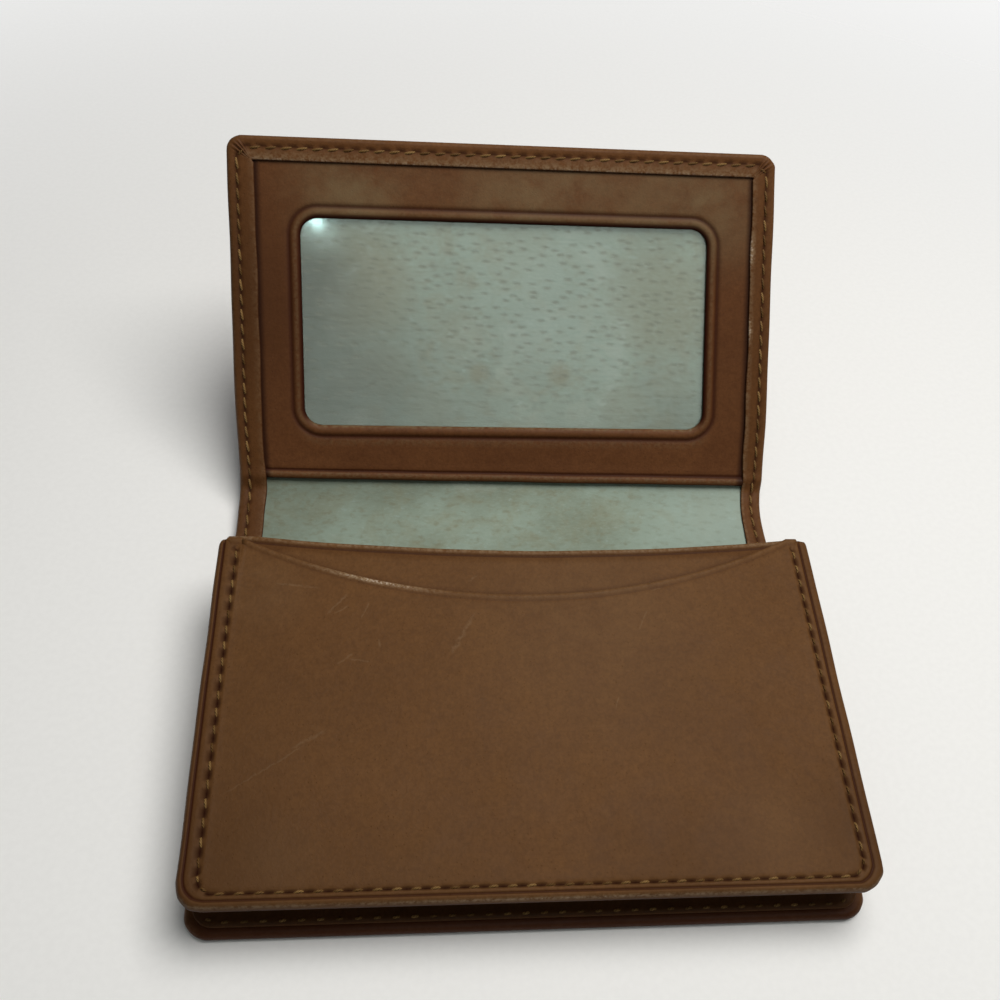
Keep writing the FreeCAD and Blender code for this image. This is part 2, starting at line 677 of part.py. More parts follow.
def back_seams():
    half = f"{HALF_WIDTH} - params.stitch_inset"
    front = f"params.stitch_inset - {HALF_PANEL}"
    corner = "max(params.back_corner - params.stitch_inset; params.layer_clearance)"
    on_flange = f"{BACK_STACK} + params.gusset_thickness + params.thread_clearance"
    under = f"{THREAD_IN_GROOVE} - params.thread_height"
    return [
        seam("back_needle_thread", u_run(half, GUSSET_END, front, corner), on_flange, BACK_PLACE),
        seam("back_bobbin_thread", u_run(half, BACK_REAR, front, corner), under, BACK_PLACE),
    ]


def pocket_seams():
    half = f"{HALF_POCKET} - params.pocket_stitch_inset"
    corner = "max(params.pocket_corner - params.pocket_stitch_inset; params.layer_clearance)"
    run = u_run(half, GUSSET_LENGTH, "params.pocket_stitch_inset", corner)
    flange_depth = "params.seat_gap + params.gusset_thickness"
    under_flange = f"0 - ({flange_depth} + params.thread_clearance + params.thread_height)"
    return [
        seam("pocket_needle_thread", run, f"{POCKET_STACK} - {THREAD_IN_GROOVE}", POCKET_PLACE),
        seam("pocket_bobbin_thread", run, under_flange, POCKET_PLACE),
    ]


def spine_seams():
    x = value(f"{HALF_WIDTH} - params.stitch_inset")
    inset = value(f"{FOLD_END} + {LINED_STACK}")
    length = value("params.spine_height")
    run = []
    for side in (-x, x):
        run += straight_run(FreeCAD.Vector(side, inset, 0), FreeCAD.Vector(side, length - inset, 0))
    inner = f"{HALF_COVER} + {LINED_STACK} - {THREAD_IN_GROOVE}"
    outer = f"{THREAD_IN_GROOVE} - params.thread_height - {HALF_COVER}"
    return [
        seam("spine_needle_thread", run, inner, SPINE_PLACE),
        seam("spine_bobbin_thread", run, outer, SPINE_PLACE),
    ]


def flap_seams():
    half = f"{HALF_WIDTH} - params.stitch_inset"
    far = "params.panel_length - params.stitch_inset"
    top = f"{FRAME_TOP} + params.hem_thickness"
    mitred = f"{top} + params.fold_clearance"
    inner = f"{top} - {THREAD_IN_GROOVE}"
    outer = f"{THREAD_IN_GROOVE} - params.thread_height - {HALF_COVER}"
    return [
        seam("flap_needle_thread", u_run(half, mitred, far, "0"), inner, FLAP_PLACE),
        seam("flap_bobbin_thread", u_run(half, FOLD_END, far, "0"), outer, FLAP_PLACE),
    ]


pieces = [
    back_cover(), back_lining(), gusset(),
    scoop_panel(), pocket_wall(), pocket_lining(),
    spine_cover(), spine_lining(),
    flap_cover(), flap_lining(), window_frame(), window_film(),
]
pieces += back_seams() + pocket_seams() + spine_seams() + flap_seams()
doc.recompute()

for thing in doc.Objects:
    if "Invalid" in thing.State or "Error" in thing.State:
        raise ValueError(f"{thing.Name} did not build")
for piece in pieces:
    if piece.Shape.isNull() or not piece.Shape.isValid():
        raise ValueError(f"{piece.Label} is not a valid shape")

os.makedirs("parts", exist_ok=True)
for piece in pieces:
    piece.Shape.exportStep(f"parts/{piece.Label}.step")
    box = piece.Shape.BoundBox
    print(f"{piece.Label}: {len(piece.Shape.Solids)} solids, {piece.Shape.Volume:.1f} mm3, "
          f"y {box.YMin:.2f} to {box.YMax:.2f}, z {box.ZMin:.2f} to {box.ZMax:.2f}")
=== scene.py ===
import json
import math

import bmesh
import bpy
import numpy as np
from mathutils import Matrix, Vector


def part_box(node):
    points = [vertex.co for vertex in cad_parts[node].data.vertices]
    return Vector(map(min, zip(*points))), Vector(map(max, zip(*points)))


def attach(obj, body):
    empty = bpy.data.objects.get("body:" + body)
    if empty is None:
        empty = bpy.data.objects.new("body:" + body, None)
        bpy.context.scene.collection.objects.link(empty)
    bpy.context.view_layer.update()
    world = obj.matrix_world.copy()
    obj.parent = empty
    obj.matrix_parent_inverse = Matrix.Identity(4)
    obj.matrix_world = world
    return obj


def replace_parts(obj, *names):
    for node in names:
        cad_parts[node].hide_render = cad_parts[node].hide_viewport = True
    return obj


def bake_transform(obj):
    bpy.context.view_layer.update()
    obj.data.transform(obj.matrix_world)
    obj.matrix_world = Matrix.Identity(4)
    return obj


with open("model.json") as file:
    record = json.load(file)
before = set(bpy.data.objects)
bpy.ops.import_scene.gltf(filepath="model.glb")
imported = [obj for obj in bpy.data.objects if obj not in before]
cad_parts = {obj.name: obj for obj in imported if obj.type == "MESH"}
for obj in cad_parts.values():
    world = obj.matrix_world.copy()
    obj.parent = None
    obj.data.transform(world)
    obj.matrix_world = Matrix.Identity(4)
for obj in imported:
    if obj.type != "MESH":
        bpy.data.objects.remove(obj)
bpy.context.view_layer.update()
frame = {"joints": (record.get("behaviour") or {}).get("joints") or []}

# Sizes in millimetres, read from the frame where it has them
MM = 0.001
joints = {joint["name"]: Vector(joint["pos_m"]) / MM for joint in frame["joints"]}
back_low, back_high = (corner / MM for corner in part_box("back_cover"))
SPINE_AXIS, FLAP_AXIS = joints["spine_fold"], joints["flap_fold"]
HALF_WIDTH = back_high.x
FRONT = back_low.y
PANEL = SPINE_AXIS.y - FRONT
SPINE = (FLAP_AXIS - SPINE_AXIS).length
SPINE_TURN = math.atan2(FLAP_AXIS.z - SPINE_AXIS.z, FLAP_AXIS.y - SPINE_AXIS.y)
FLAP_LEAN = math.radians(48)
FLAP_TURN = FLAP_LEAN - SPINE_TURN
SPINE_BEND, FLAP_BEND = 3.6, 5

# Layers, as heights above the middle of the hide
FACE = -0.5
LINING_UNDER, LINING_TOP = 0.5, 0.9
BACK_HEM = 1.4
FRAME_UNDER, FRAME_TOP = 1.5, 2.2
FLAP_HEM = 2.7

# Cover, laid flat: x across, then along from the front edge over both folds to the flap's top edge
SPINE_AT = PANEL
FLAP_AT = PANEL + SPINE
LENGTH = 2 * PANEL + SPINE
SPLIT = PANEL + SPINE / 2
HEM = 4.6
ROLL = 0.8
BACK_CORNER, FLAP_CORNER = 4, 3
COVER_GRID = 7.2
LINING_MARGIN = 1.4

# Window
FRAME_START = FLAP_AT + 0.6
FRAME_TILT = -0.012
FRAME_STRIP, FRAME_RING, FRAME_MARGIN = 4.6, 4.2, 1.6
WINDOW_HALF, WINDOW_LOW, WINDOW_HIGH = 38.9, FLAP_AT + 12.2, FLAP_AT + 51.2
WINDOW_CORNER = 3.3
FILM_MARGIN, FILM_CROWN, FILM_RIPPLE = 3, 0.04, 0.015

# Pocket: x across, then along from its front edge, then up from its underside
POCKET_TURN = math.radians(5)
POCKET_FRONT = FRONT + 1.1
POCKET_LIFT = 8.5
POCKET_LENGTH = 61.5
POCKET_STACK = 2.9
POCKET_CORNER, HORN = 4, 1.6
POCKET_SKEW = 0.009
POCKET_GRID = 6.4
SCOOP_HALF, SCOOP_DEPTH = 48.2, 11.3
WALL_LOW, WALL_HIGH, WALL_BOW, WALL_MIDDLE = 59.75, 62.6, 0.00112, 4
WALL_TOP, WALL_MARGIN, WALL_START = 1.7, 1.5, 1.4
SKIN_UNDER, SKIN_TOP, SKIN_SHORT = 0.52, 0.86, 1.5

# Gusset
GUSSET_END = 28.3
GUSSET_LEAF = 7
GUSSET_THICKNESS = 0.5
GUSSET_INSET = 3.2

# Seams
STITCH_INSET, POCKET_STITCH_INSET = 2, 2.3
PITCH = 2.8
PER_STITCH = 5
THREAD = 0.25
ON_FACE, UNDER_POCKET = FACE + 0.1, -0.56
SLANT = math.radians(9)
TIGHT = 0.05


# Numbers
def smoothstep(low, high, value):
    share = np.clip((np.asarray(value, float) - low) / (high - low), 0, 1)
    return share * share * (3 - 2 * share)


def hump(centre, reach, value):
    """1 at the centre and 0 from the reach on."""
    return 1 - smoothstep(0, reach, np.abs(np.asarray(value, float) - centre))


def wander(value, period, seed):
    """Slow uneven wave between -1 and 1, for leather that was turned by hand."""
    phase = 2 * math.pi * np.asarray(value, float) / period
    return (np.sin(phase + seed) + np.sin(0.53 * phase + 2.1 * seed) + np.sin(1.71 * phase + 0.7 * seed)) / 3


def spread(*parts):
    """Points from their coordinates, each an array or one number for all points."""
    return np.stack(np.broadcast_arrays(*parts), axis=-1)


# Places
def bend_share(along, fold_at, reach):
    return np.clip((along - fold_at) / (2 * reach) + 0.5, 0, 1)


def fold_line(step=0.05):
    """The hide's middle line in the YZ plane: three flats joined by two arcs."""
    along = np.arange(-step, LENGTH + 2 * step, step)
    turn = np.zeros_like(along)
    pace = np.ones_like(along)
    for fold_at, angle, reach in ((SPINE_AT, SPINE_TURN, SPINE_BEND), (FLAP_AT, FLAP_TURN, FLAP_BEND)):
        share = bend_share(along, fold_at, reach)
        turn += angle * share
        pace[(share > 0) & (share < 1)] *= angle / (2 * math.tan(angle / 2))
    middle = (turn[1:] + turn[:-1]) / 2
    stride = step * (pace[1:] + pace[:-1]) / 2
    y = FRONT - step + np.concatenate([[0], np.cumsum(stride * np.cos(middle))])
    z = SPINE_AXIS.z + np.concatenate([[0], np.cumsum(stride * np.sin(middle))])
    return along, turn, y, z


FOLD_LINE = fold_line()


def fold(points):
    """Lay flat cover points (x, along, height) on the folded cover, which is a little waisted and skewed."""
    x, along, height = points.T
    waist = 1 + 0.008 * smoothstep(FLAP_AT + 2, FLAP_AT + 15, along) - 0.013 * hump(FLAP_AT - 9, 15, along)
    skew = -0.02 * (along - FLAP_AT - 33) * smoothstep(FLAP_AT - 8, FLAP_AT + 4, along)
    table, turn, y, z = FOLD_LINE
    lean = np.interp(along, table, turn)
    y = np.interp(along, table, y) - height * np.sin(lean)
    z = np.interp(along, table, z) + height * np.cos(lean)
    return spread(x * waist + skew, y, z)


def pocket_place(points):
    """Stand pocket points (x, along, height) on the sloping pocket."""
    x, along, height = points.T
    y = POCKET_FRONT + along * math.cos(POCKET_TURN) - height * math.sin(POCKET_TURN)
    z = POCKET_LIFT + along * math.sin(POCKET_TURN) + height * math.cos(POCKET_TURN)
    return spread(x + POCKET_SKEW * along, y, z)


def as_is(points):
    return points


def on_flap(*places):
    """Cover places from places whose second value counts from the flap's fold."""
    return [(x, FLAP_AT + up, *rest) for x, up, *rest in places]


# Meshes
def link(thing):
    bpy.context.scene.collection.objects.link(thing)


class Shape:
    """Points, faces and marks of one piece, gathered patch by patch. Marks drive its material."""

    MARKS = ("wear", "pit", "crease")

    def __init__(self):
        self.points, self.faces = [], []
        self.marks = {name: [] for name in self.MARKS}
        self.count = 0

    def add(self, points, **marks):
        """Adds an array of points of any shape and returns their numbers in that shape."""
        points = np.asarray(points, float)
        size = points.shape[:-1]
        numbers = self.count + np.arange(points.size // 3).reshape(size)
        self.points.append(points.reshape(-1, 3))
        for name in self.MARKS:
            self.marks[name].append(np.broadcast_to(marks.get(name, 0), size).reshape(-1))
        self.count += points.size // 3
        return numbers

    def quads(self, numbers, flip=False, closed=False):
        if closed:
            numbers = np.concatenate([numbers, numbers[:, :1]], axis=1)
        a, b = numbers[:-1, :-1], numbers[:-1, 1:]
        c, d = numbers[1:, 1:], numbers[1:, :-1]
        corners = np.stack([a, d, c, b] if flip else [a, b, c, d], axis=-1)
        self.faces += corners.reshape(-1, 4).tolist()

    def patch(self, points, flip=False, closed=False, **marks):
        numbers = self.add(points, **marks)
        self.quads(numbers, flip, closed)
        return numbers

    def step_down(self, fine, coarse, flip=False):
        """Joins a fine row to the coarse points that its stations belong to."""
        for k in range(len(fine) - 1):
            face = [fine[k], fine[k + 1], coarse[k + 1], coarse[k]]
            if coarse[k] == coarse[k + 1]:
                face.pop()
            self.faces.append([int(n) for n in (face[::-1] if flip else face)])

    def build(self, name, place, material, slot):
        flat = np.concatenate(self.points)
        mesh = bpy.data.meshes.new(name)
        mesh.from_pydata((place(flat) * MM).tolist(), [], self.faces)
        spots = mesh.attributes.new("flat", "FLOAT_VECTOR", "POINT")
        spots.data.foreach_set("vector", flat.astype(np.float32).ravel())
        for mark, values in self.marks.items():
            values = np.concatenate(values).astype(np.float32)
            mesh.attributes.new(mark, "FLOAT", "POINT").data.foreach_set("value", values)
        weld = bmesh.new()
        weld.from_mesh(mesh)
        bmesh.ops.remove_doubles(weld, verts=weld.verts, dist=1e-7)
        bmesh.ops.dissolve_degenerate(weld, dist=1e-8, edges=weld.edges)
        weld.to_mesh(mesh)
        weld.free()
        mesh.shade_smooth()
        mesh.materials.append(material)
        piece = bpy.data.objects.new(name, mesh)
        link(piece)
        return piece


class Rows:
    """Rows of points with their marks, which together make one patch."""

    def __init__(self):
        self.points, self.marks = [], {}

    def add(self, points, **marks):
        self.points.append(points)
        for name, values in marks.items():
            self.marks.setdefault(name, []).append(np.broadcast_to(values, len(points)))

    def patch(self, shape, **how):
        marks = {name: np.array(values) for name, values in self.marks.items()}
        return shape.patch(np.array(self.points), **how, **marks)


class Rim:
    """Stations round the left, closed and right sides of a panel, a whole number of them to a stitch."""

    def __init__(self, half, length, radius, stitch_inset, corner_stitches, corner_steps):
        self.half, self.length, self.radius = half, length, radius
        reach = stitch_inset + self.corner_radius(stitch_inset)
        self.sides = round((length - reach) / PITCH)
        self.ends = round(2 * (half - reach) / PITCH)
        side = np.linspace(1, 0, self.sides * PER_STITCH + 1)
        corner = np.linspace(0, 1, corner_steps + 1)[1:]
        end = np.linspace(-1, 1, self.ends * PER_STITCH + 1)[1:]
        first, second = self.sides, self.sides + self.ends
        # Place across from -1 to 1, place up the sides from 0 to 1, quarter turns, first coarse point
        parts = ((-1, side, 0, 0), (-1, 0, corner, first), (end, 0, 1, first), (1, 0, 1 + corner, second),
                 (1, side[::-1][1:], 2, second))
        stations = []
        for number, (across, up, quarters, base) in enumerate(parts):
            rounded = np.ndim(quarters) == 1
            across, up, quarters = np.broadcast_arrays(across, up, quarters)
            k = np.arange(len(up)) + (number > 0)
            phase = k / (corner_steps // corner_stitches if rounded else PER_STITCH) % 1
            coarse = base + (0 * k if rounded else np.rint(k / PER_STITCH).astype(int))
            stations.append((across, up, quarters, phase, coarse))
        self.across, self.up, quarters, phase, self.coarse = (np.concatenate(part) for part in zip(*stations))
        self.turn = np.radians(90 * quarters)
        self.inward = spread(np.cos(self.turn), np.sin(self.turn))
        self.to_hole = np.minimum(phase, 1 - phase)
        self.holes = np.flatnonzero(self.to_hole < 1e-6)

    def corner_radius(self, inset):
        return max(self.radius - 0.55 * inset, TIGHT)

    def ring(self, inset, length=None):
        """Points (x, along) of the line at an inset from the edge."""
        r = self.corner_radius(inset)
        x, low = self.half - inset - r, inset + r
        along = low + self.up * ((self.length if length is None else length) - low)
        return spread(self.across * x, along) - r * self.inward

    def moved(self, ring, inwards):
        """A ring with each of its points moved inwards by its own amount."""
        return ring + self.inward * inwards[:, None]

    def inner_grid(self, inset):
        """Points of a coarse grid (rows along, columns across) inside the line at an inset."""
        x = np.linspace(-1, 1, self.ends + 1) * (self.half - inset)
        along = inset + np.linspace(0, 1, self.sides + 1) * (self.length - inset)
        return np.meshgrid(x, along)

    def grid_border(self, numbers):
        """Numbers of a coarse grid's border points in the order of the stations' coarse indices."""
        left, right = numbers[::-1, 0], numbers[:, -1]
        ring = np.concatenate([left, numbers[0, 1:], right[1:]])
        return ring[self.coarse]

    def hole(self):
        return 1 - smoothstep(0.16, 0.34, self.to_hole)

    def pairs(self):
        """First and last stations of each stitch."""
        return list(zip(self.holes[:-1], self.holes[1:]))


def roll_section(reach, steps=9):
    """Half-round edge from the under face to the upper one, as (inset, level) with level from 0 to 1."""
    angles = np.linspace(-math.pi / 2, math.pi / 2, steps)
    return [(reach * (1 - math.cos(a)), 0.5 + 0.5 * math.sin(a)) for a in angles]


# Shader nodes
class Look:
    """A material under construction, with short ways to add linked nodes."""

    def __init__(self, name):
        self.material = bpy.data.materials.new(name)
        self.material.use_nodes = True
        self.tree = self.material.node_tree
        self.tree.nodes.clear()
        self.colour = None

    def add(self, kind, output=0, inputs=(), **settings):
        node = self.tree.nodes.new(kind)
        for key, setting in settings.items():
            setattr(node, key, setting)
        for key, given in dict(inputs).items():
            if isinstance(given, bpy.types.NodeSocket):
                self.tree.links.new(given, node.inputs[key])
            else:
                node.inputs[key].default_value = given
        return node.outputs if output is None else node.outputs[output]

    def mark(self, name):
        return self.add("ShaderNodeAttribute", "Fac", attribute_name=name)

    def flat(self, scale=(1, 1, 1), turn=0, shift=(0, 0, 0)):
        """Flat coordinates of the piece in millimetres, scaled, turned and shifted."""
        spot = self.add("ShaderNodeAttribute", "Vector", attribute_name="flat")
        return self.add("ShaderNodeMapping", inputs={
            "Vector": spot, "Scale": scale, "Rotation": (0, 0, turn), "Location": shift})

    def split(self, vector):
        """The three parts of a vector: across, along and height for flat coordinates."""
        return self.add("ShaderNodeSeparateXYZ", None, {0: vector})

    def math(self, operation, a, b=0, c=0, clamp=False):
        return self.add("ShaderNodeMath", inputs={0: a, 1: b, 2: c}, operation=operation, use_clamp=clamp)

    def times(self, a, b, clamp=False):
        return self.math("MULTIPLY", a, b, clamp=clamp)

    def plus(self, base, value, factor, clamp=False):
        """Base and a value times a factor."""
        return self.math("MULTIPLY_ADD", value, factor, base, clamp)

    def less(self, a, b):
        return self.math("SUBTRACT", a, b)

    def size(self, value):
        return self.math("ABSOLUTE", value)

    def larger(self, a, b):
        return self.math("MAXIMUM", a, b)

    def vectors(self, operation, a, b, output=0):
        return self.add("ShaderNodeVectorMath", output, {0: a, 1: b}, operation=operation)

    def away(self, spot, x, along):
        return self.vectors("DISTANCE", spot, (x, along, 0), "Value")

    def near(self, spot, x, along, reach):
        """Share that is 1 at a place and fades to 0 at the reach."""
        return self.ramp(self.away(spot, x, along), 0, reach, 1, 0)

    def noise(self, spot, scale, detail=3, rough=0.55, warp=0):
        return self.add("ShaderNodeTexNoise", "Fac", {
            "Vector": spot, "Scale": scale, "Detail": detail, "Roughness": rough, "Distortion": warp})

    def cells(self, spot, scale, feature="F1", output="Distance", jitter=1, space="3D"):
        return self.add("ShaderNodeTexVoronoi", output, {
            "Vector": spot, "Scale": scale, "Randomness": jitter}, feature=feature, voronoi_dimensions=space)

    def cuts(self, scale, turn, size, shift=(0, 0, 0)):
        """Share of hair-thin cuts that run mostly one way."""
        edges = self.cells(self.flat(scale, turn, shift), size, "DISTANCE_TO_EDGE")
        return self.ramp(edges, 0.004, 0.02, 1, 0)

    def ramp(self, value, low, high, start=0, stop=1, smooth=True):
        return self.add("ShaderNodeMapRange", inputs={
            "Value": value, "From Min": low, "From Max": high, "To Min": start, "To Max": stop},
            interpolation_type="SMOOTHSTEP" if smooth else "LINEAR")

    def mix(self, share, a, b, blend="MIX"):
        a, b = ((*colour, 1) if isinstance(colour, tuple) else colour for colour in (a, b))
        return self.add("ShaderNodeMix", 2, {0: share, 6: a, 7: b}, data_type="RGBA", blend_type=blend)

    def bump(self, height, depth):
        return self.add("ShaderNodeBump", inputs={"Height": height, "Distance": depth * MM, "Strength": 1})

    def paint(self, paint, share, strength=None, blend="MIX", clamp=False):
        """Lays a colour over the look's colour so far, by a share and perhaps a strength."""
        if strength is not None:
            share = self.times(share, strength, clamp)
        self.colour = self.mix(share, self.colour, paint, blend)

    def dab(self, paint, spot, places, blend="MIX", through=None):
        """Lays a colour on soft round places: (x, along, reach, strength)."""
        for x, along, reach, strength in places:
            share = self.near(spot, x, along, reach)
            if through is not None:
                share = self.times(share, through)
            self.paint(paint, share, strength, blend)

    def finish(self, rough, **sockets):
        inputs = {"Base Color": self.colour, "Roughness": rough}
        inputs.update({key.replace("_", " "): given for key, given in sockets.items()})
        shader = self.add("ShaderNodeBsdfPrincipled", inputs=inputs)
        self.add("ShaderNodeOutputMaterial", None, {"Surface": shader})
        return self.material


def scratch_lines(look, lines):
    """Share of pale scratch at each spot: lines are (x, along, angle in degrees, length, width)."""
    total = 0
    for x, along, angle, length, width in lines:
        spot = look.flat()
        local = look.add("ShaderNodeVectorRotate", inputs={
            "Vector": spot, "Center": (x, along, 0), "Angle": math.radians(-angle)}, rotation_type="Z_AXIS")
        wobble = look.times(look.less(look.noise(spot, 0.8, 2), 0.5), 3 * width)
        onward, aside, _ = look.split(local)
        across = look.math("ADD", look.less(aside, along), wobble)
        thin = look.ramp(look.size(across), 0, width, 1, 0)
        ends = look.ramp(look.size(look.less(onward, x)), length * 0.3, length * 0.5, 1, 0)
        total = look.larger(look.times(thin, ends), total)
    return total


def leather(name, deep, tan, pale, grain=1, gloss=0.1, scratches=(), haze_and_sheen=(), shade_and_grime=(), hem_lines=None):
    """Smooth hide: mottled dye, fine grain with pores, soft scratches, pale hazes (some of them painted
    sheen), worn places with painted highlights, painted shade towards some sides and in creases and stitch
    holes, and the painted shade under a hem that lies on it.
    """
    look = Look(name)
    spot = look.flat()
    dark = tuple(0.62 * c for c in deep)
    # Painted shade colours: shade for creases and under edges, gap for the shadow under a hem's edge, hole
    # for stitch holes
    shade, gap, hole = (tuple(part * c for part, c in zip(parts, deep)) for parts in (
        (0.31, 0.16, 0.15), (0.18, 0.11, 0.08), (0.15, 0.06, 0.06)))
    bare_and_highlight = (0.56, 0.45, 0.35)

    broad = look.noise(spot, 0.045, 3, 0.5, 0.4)
    patches = look.noise(spot, 0.16, 5, 0.62, 0.3)
    mottle = look.noise(spot, 0.6, 4, 0.65)
    fibre = look.noise(look.flat((1, 0.35, 1), 0.5), 2.2, 4, 0.65)
    tone = look.math("ADD", look.times(broad, 0.6), look.times(patches, 0.4))
    tone = look.ramp(tone, 0.15, 0.85)
    tone = look.plus(tone, look.less(fibre, 0.5), 0.8)
    tone = look.plus(tone, look.less(mottle, 0.5), 1.5)
    look.colour = look.mix(look.ramp(tone, 0, 1, smooth=False), deep, tan)

    jitter = look.add("ShaderNodeTexNoise", "Color", {"Vector": spot, "Scale": 1.3, "Detail": 2})
    pebble = look.cells(look.vectors("ADD", spot, jitter), 2.1, "SMOOTH_F1")
    fine = look.noise(spot, 7, 3, 0.6)
    pores = look.ramp(look.cells(spot, 1.15), 0.05, 0.2, 1, 0)
    pores = look.times(pores, look.ramp(patches, 0.38, 0.58))
    look.paint(dark, look.ramp(pebble, 0.25, 0.75), 0.26)
    look.paint(dark, pores, 0.42)

    hairs = look.cuts((0.05, 1.6, 1), 0.7, 0.55)
    hairs = look.larger(hairs, look.cuts((0.07, 1.2, 1), -1.1, 0.5, (7, 3, 0)))
    hairs = look.times(hairs, look.ramp(look.noise(spot, 0.13, 2), 0.55, 0.7))
    lines = look.larger(look.times(hairs, 0.2), scratch_lines(look, scratches))
    lines = look.times(lines, look.ramp(look.noise(spot, 1.9, 3), 0.2, 0.6))
    look.paint(pale, lines, 0.17)

    # Pale hazes; near the frame's top they are painted sheen
    look.dab(pale, spot, haze_and_sheen, through=look.ramp(patches, 0.1, 0.75))
    # Painted shade: soft darker places towards the sides, front and bottom, in the grain's dark colour
    look.dab(dark, spot, shade_and_grime)

    # Pale worn colour and painted highlights on edges, hems and the lip
    rub_and_highlight = look.times(look.mark("wear"), look.ramp(look.noise(spot, 1.3, 4, 0.75), 0.35, 0.65))
    look.paint(pale, rub_and_highlight, 0.7, clamp=True)
    # Brightest bared leather and painted highlights where that mark is strong
    gleam = look.ramp(look.mark("wear"), 0.8, 1.5)
    gleam = look.times(gleam, look.ramp(look.noise(spot, 2.4, 2), 0.48, 0.66))
    look.paint(bare_and_highlight, gleam, 0.7)
    # Painted shadow along the hems' inner edges
    if hem_lines:
        left, right, top, width = hem_lines
        across, along, _ = look.split(look.flat())
        line = look.ramp(across, left + width, left)
        line = look.larger(line, look.ramp(across, right - width, right))
        line = look.larger(line, look.ramp(along, top - width, top))
        look.paint(gap, line, 0.85)
    # Painted shade in creases, grooves, pleats and under edges
    look.paint(shade, look.mark("crease"), 0.8, clamp=True)
    # Painted shade in the stitch holes
    look.paint(hole, look.mark("pit"))

    height = look.times(pebble, 0.5)
    for layer, depth in ((fine, 0.35), (pores, -0.5), (lines, -0.3), (patches, 0.8), (mottle, 0.8)):
        height = look.plus(height, layer, depth)
    rough = look.plus(0.52, look.less(patches, 0.5), 0.3)
    rough = look.plus(rough, rub_and_highlight, -0.12)
    rough = look.plus(rough, look.mark("pit"), 0.4, clamp=True)
    return look.finish(rough, Normal=look.bump(height, 0.06 * grain), Specular_IOR_Level=gloss)


def pigskin(name, stains, smears, shade_and_grime, bleach_and_sheen):
    """Pale lining: mottled suede, tan stains, pale rubbed rings, grimy places with painted shade towards the
    left, pale bleaching with painted sheen and a painted reflection halo, and slanting rows of short ragged
    pores. Smears are (x, along, radius, width, strength), others (x, along, reach, strength).
    """
    pale_dark, pale_light, tan_stain = (0.211, 0.252, 0.193), (0.272, 0.34, 0.278), (0.226, 0.208, 0.118)
    bloom, brown_mottle, nap = (0.33, 0.415, 0.375), (0.19, 0.182, 0.11), (0.36, 0.42, 0.36)
    rubbed, shade_and_dirt, bleach_and_sheen_tint = (0.4, 0.48, 0.43), (0.37, 0.35, 0.31), (0.36, 0.45, 0.4)
    pore_dark = (0.125, 0.118, 0.07)
    pore_run, pore_step, pore_slant = 3, 2, -0.14
    look = Look(name)
    spot = look.flat()
    broad = look.noise(spot, 0.05, 3, 0.5)
    cloud = look.noise(spot, 0.16, 5, 0.62, 0.6)
    mottle = look.noise(look.flat((0.7, 1, 1), 0.1), 0.75, 4, 0.6)
    fibre = look.noise(look.flat((0.5, 1, 1), 0.12), 2, 4, 0.65)
    look.colour = look.mix(look.ramp(broad, 0.35, 0.65), pale_dark, pale_light)
    _, rise, _ = look.split(spot)
    tan = look.times(look.ramp(cloud, 0.45, 0.68), look.ramp(rise, FLAP_AT - 2, FLAP_AT + 12, 0.3, 0.55))
    for x, along, reach, strength in stains:
        tan = look.larger(tan, look.ramp(look.away(spot, x, along), 0.35 * reach, reach, strength, 0))
    look.paint(tan_stain, tan)
    look.paint(bloom, look.ramp(mottle, 0.4, 0.25, 0, 0.45))
    look.paint(brown_mottle, look.ramp(mottle, 0.5, 0.72, 0, 0.48))
    look.paint(nap, look.ramp(fibre, 0.42, 0.72, 0, 0.22))
    for x, along, radius, width, strength in smears:
        off = look.size(look.less(look.away(spot, x, along), radius))
        ring = look.times(look.ramp(off, 0, width, strength, 0), look.ramp(cloud, 0.42, 0.62))
        look.paint(rubbed, ring)
    # Grimy places, and painted shade towards the left, multiplied in
    look.dab(shade_and_dirt, spot, shade_and_grime, "MULTIPLY")
    # Pale bleaching, painted sheen on the spine's right and a painted reflection halo near the window's top
    # left corner
    look.dab(bleach_and_sheen_tint, spot, bleach_and_sheen)

    rows = look.flat((1 / pore_run, 1 / pore_step, 1), pore_slant)
    centre = look.cells(rows, 1, output="Position", jitter=0.8, space="2D")
    onward, aside, _ = look.split(look.vectors("SUBTRACT", rows, centre))
    ragged = look.times(look.less(look.noise(spot, 1.8, 3, 0.7), 0.5), 0.36)
    across = look.size(look.plus(look.math("ADD", aside, ragged), onward, 0.2))
    run = look.size(look.math("ADD", onward, ragged))
    pores = look.times(look.ramp(across, 0, 0.27, 1, 0), look.ramp(run, 0, 0.42, 1, 0))
    strength = look.ramp(look.noise(look.flat((1, 1, 0), 0, (40, 9, 0)), 0.3, 2), 0.28, 0.55, 0.85, 1)
    strength = look.times(strength, look.ramp(rise, FLAP_AT + 4, FLAP_AT + 34, 0.25, 1))
    pores = look.times(pores, strength)
    look.paint(pore_dark, pores, 0.6)
    height = look.plus(look.plus(fibre, mottle, 0.8), pores, -1.1)
    rough = look.ramp(fibre, 0.3, 0.7, 0.62, 0.8, False)
    return look.finish(rough, Normal=look.bump(height, 0.05), Specular_IOR_Level=0.2)


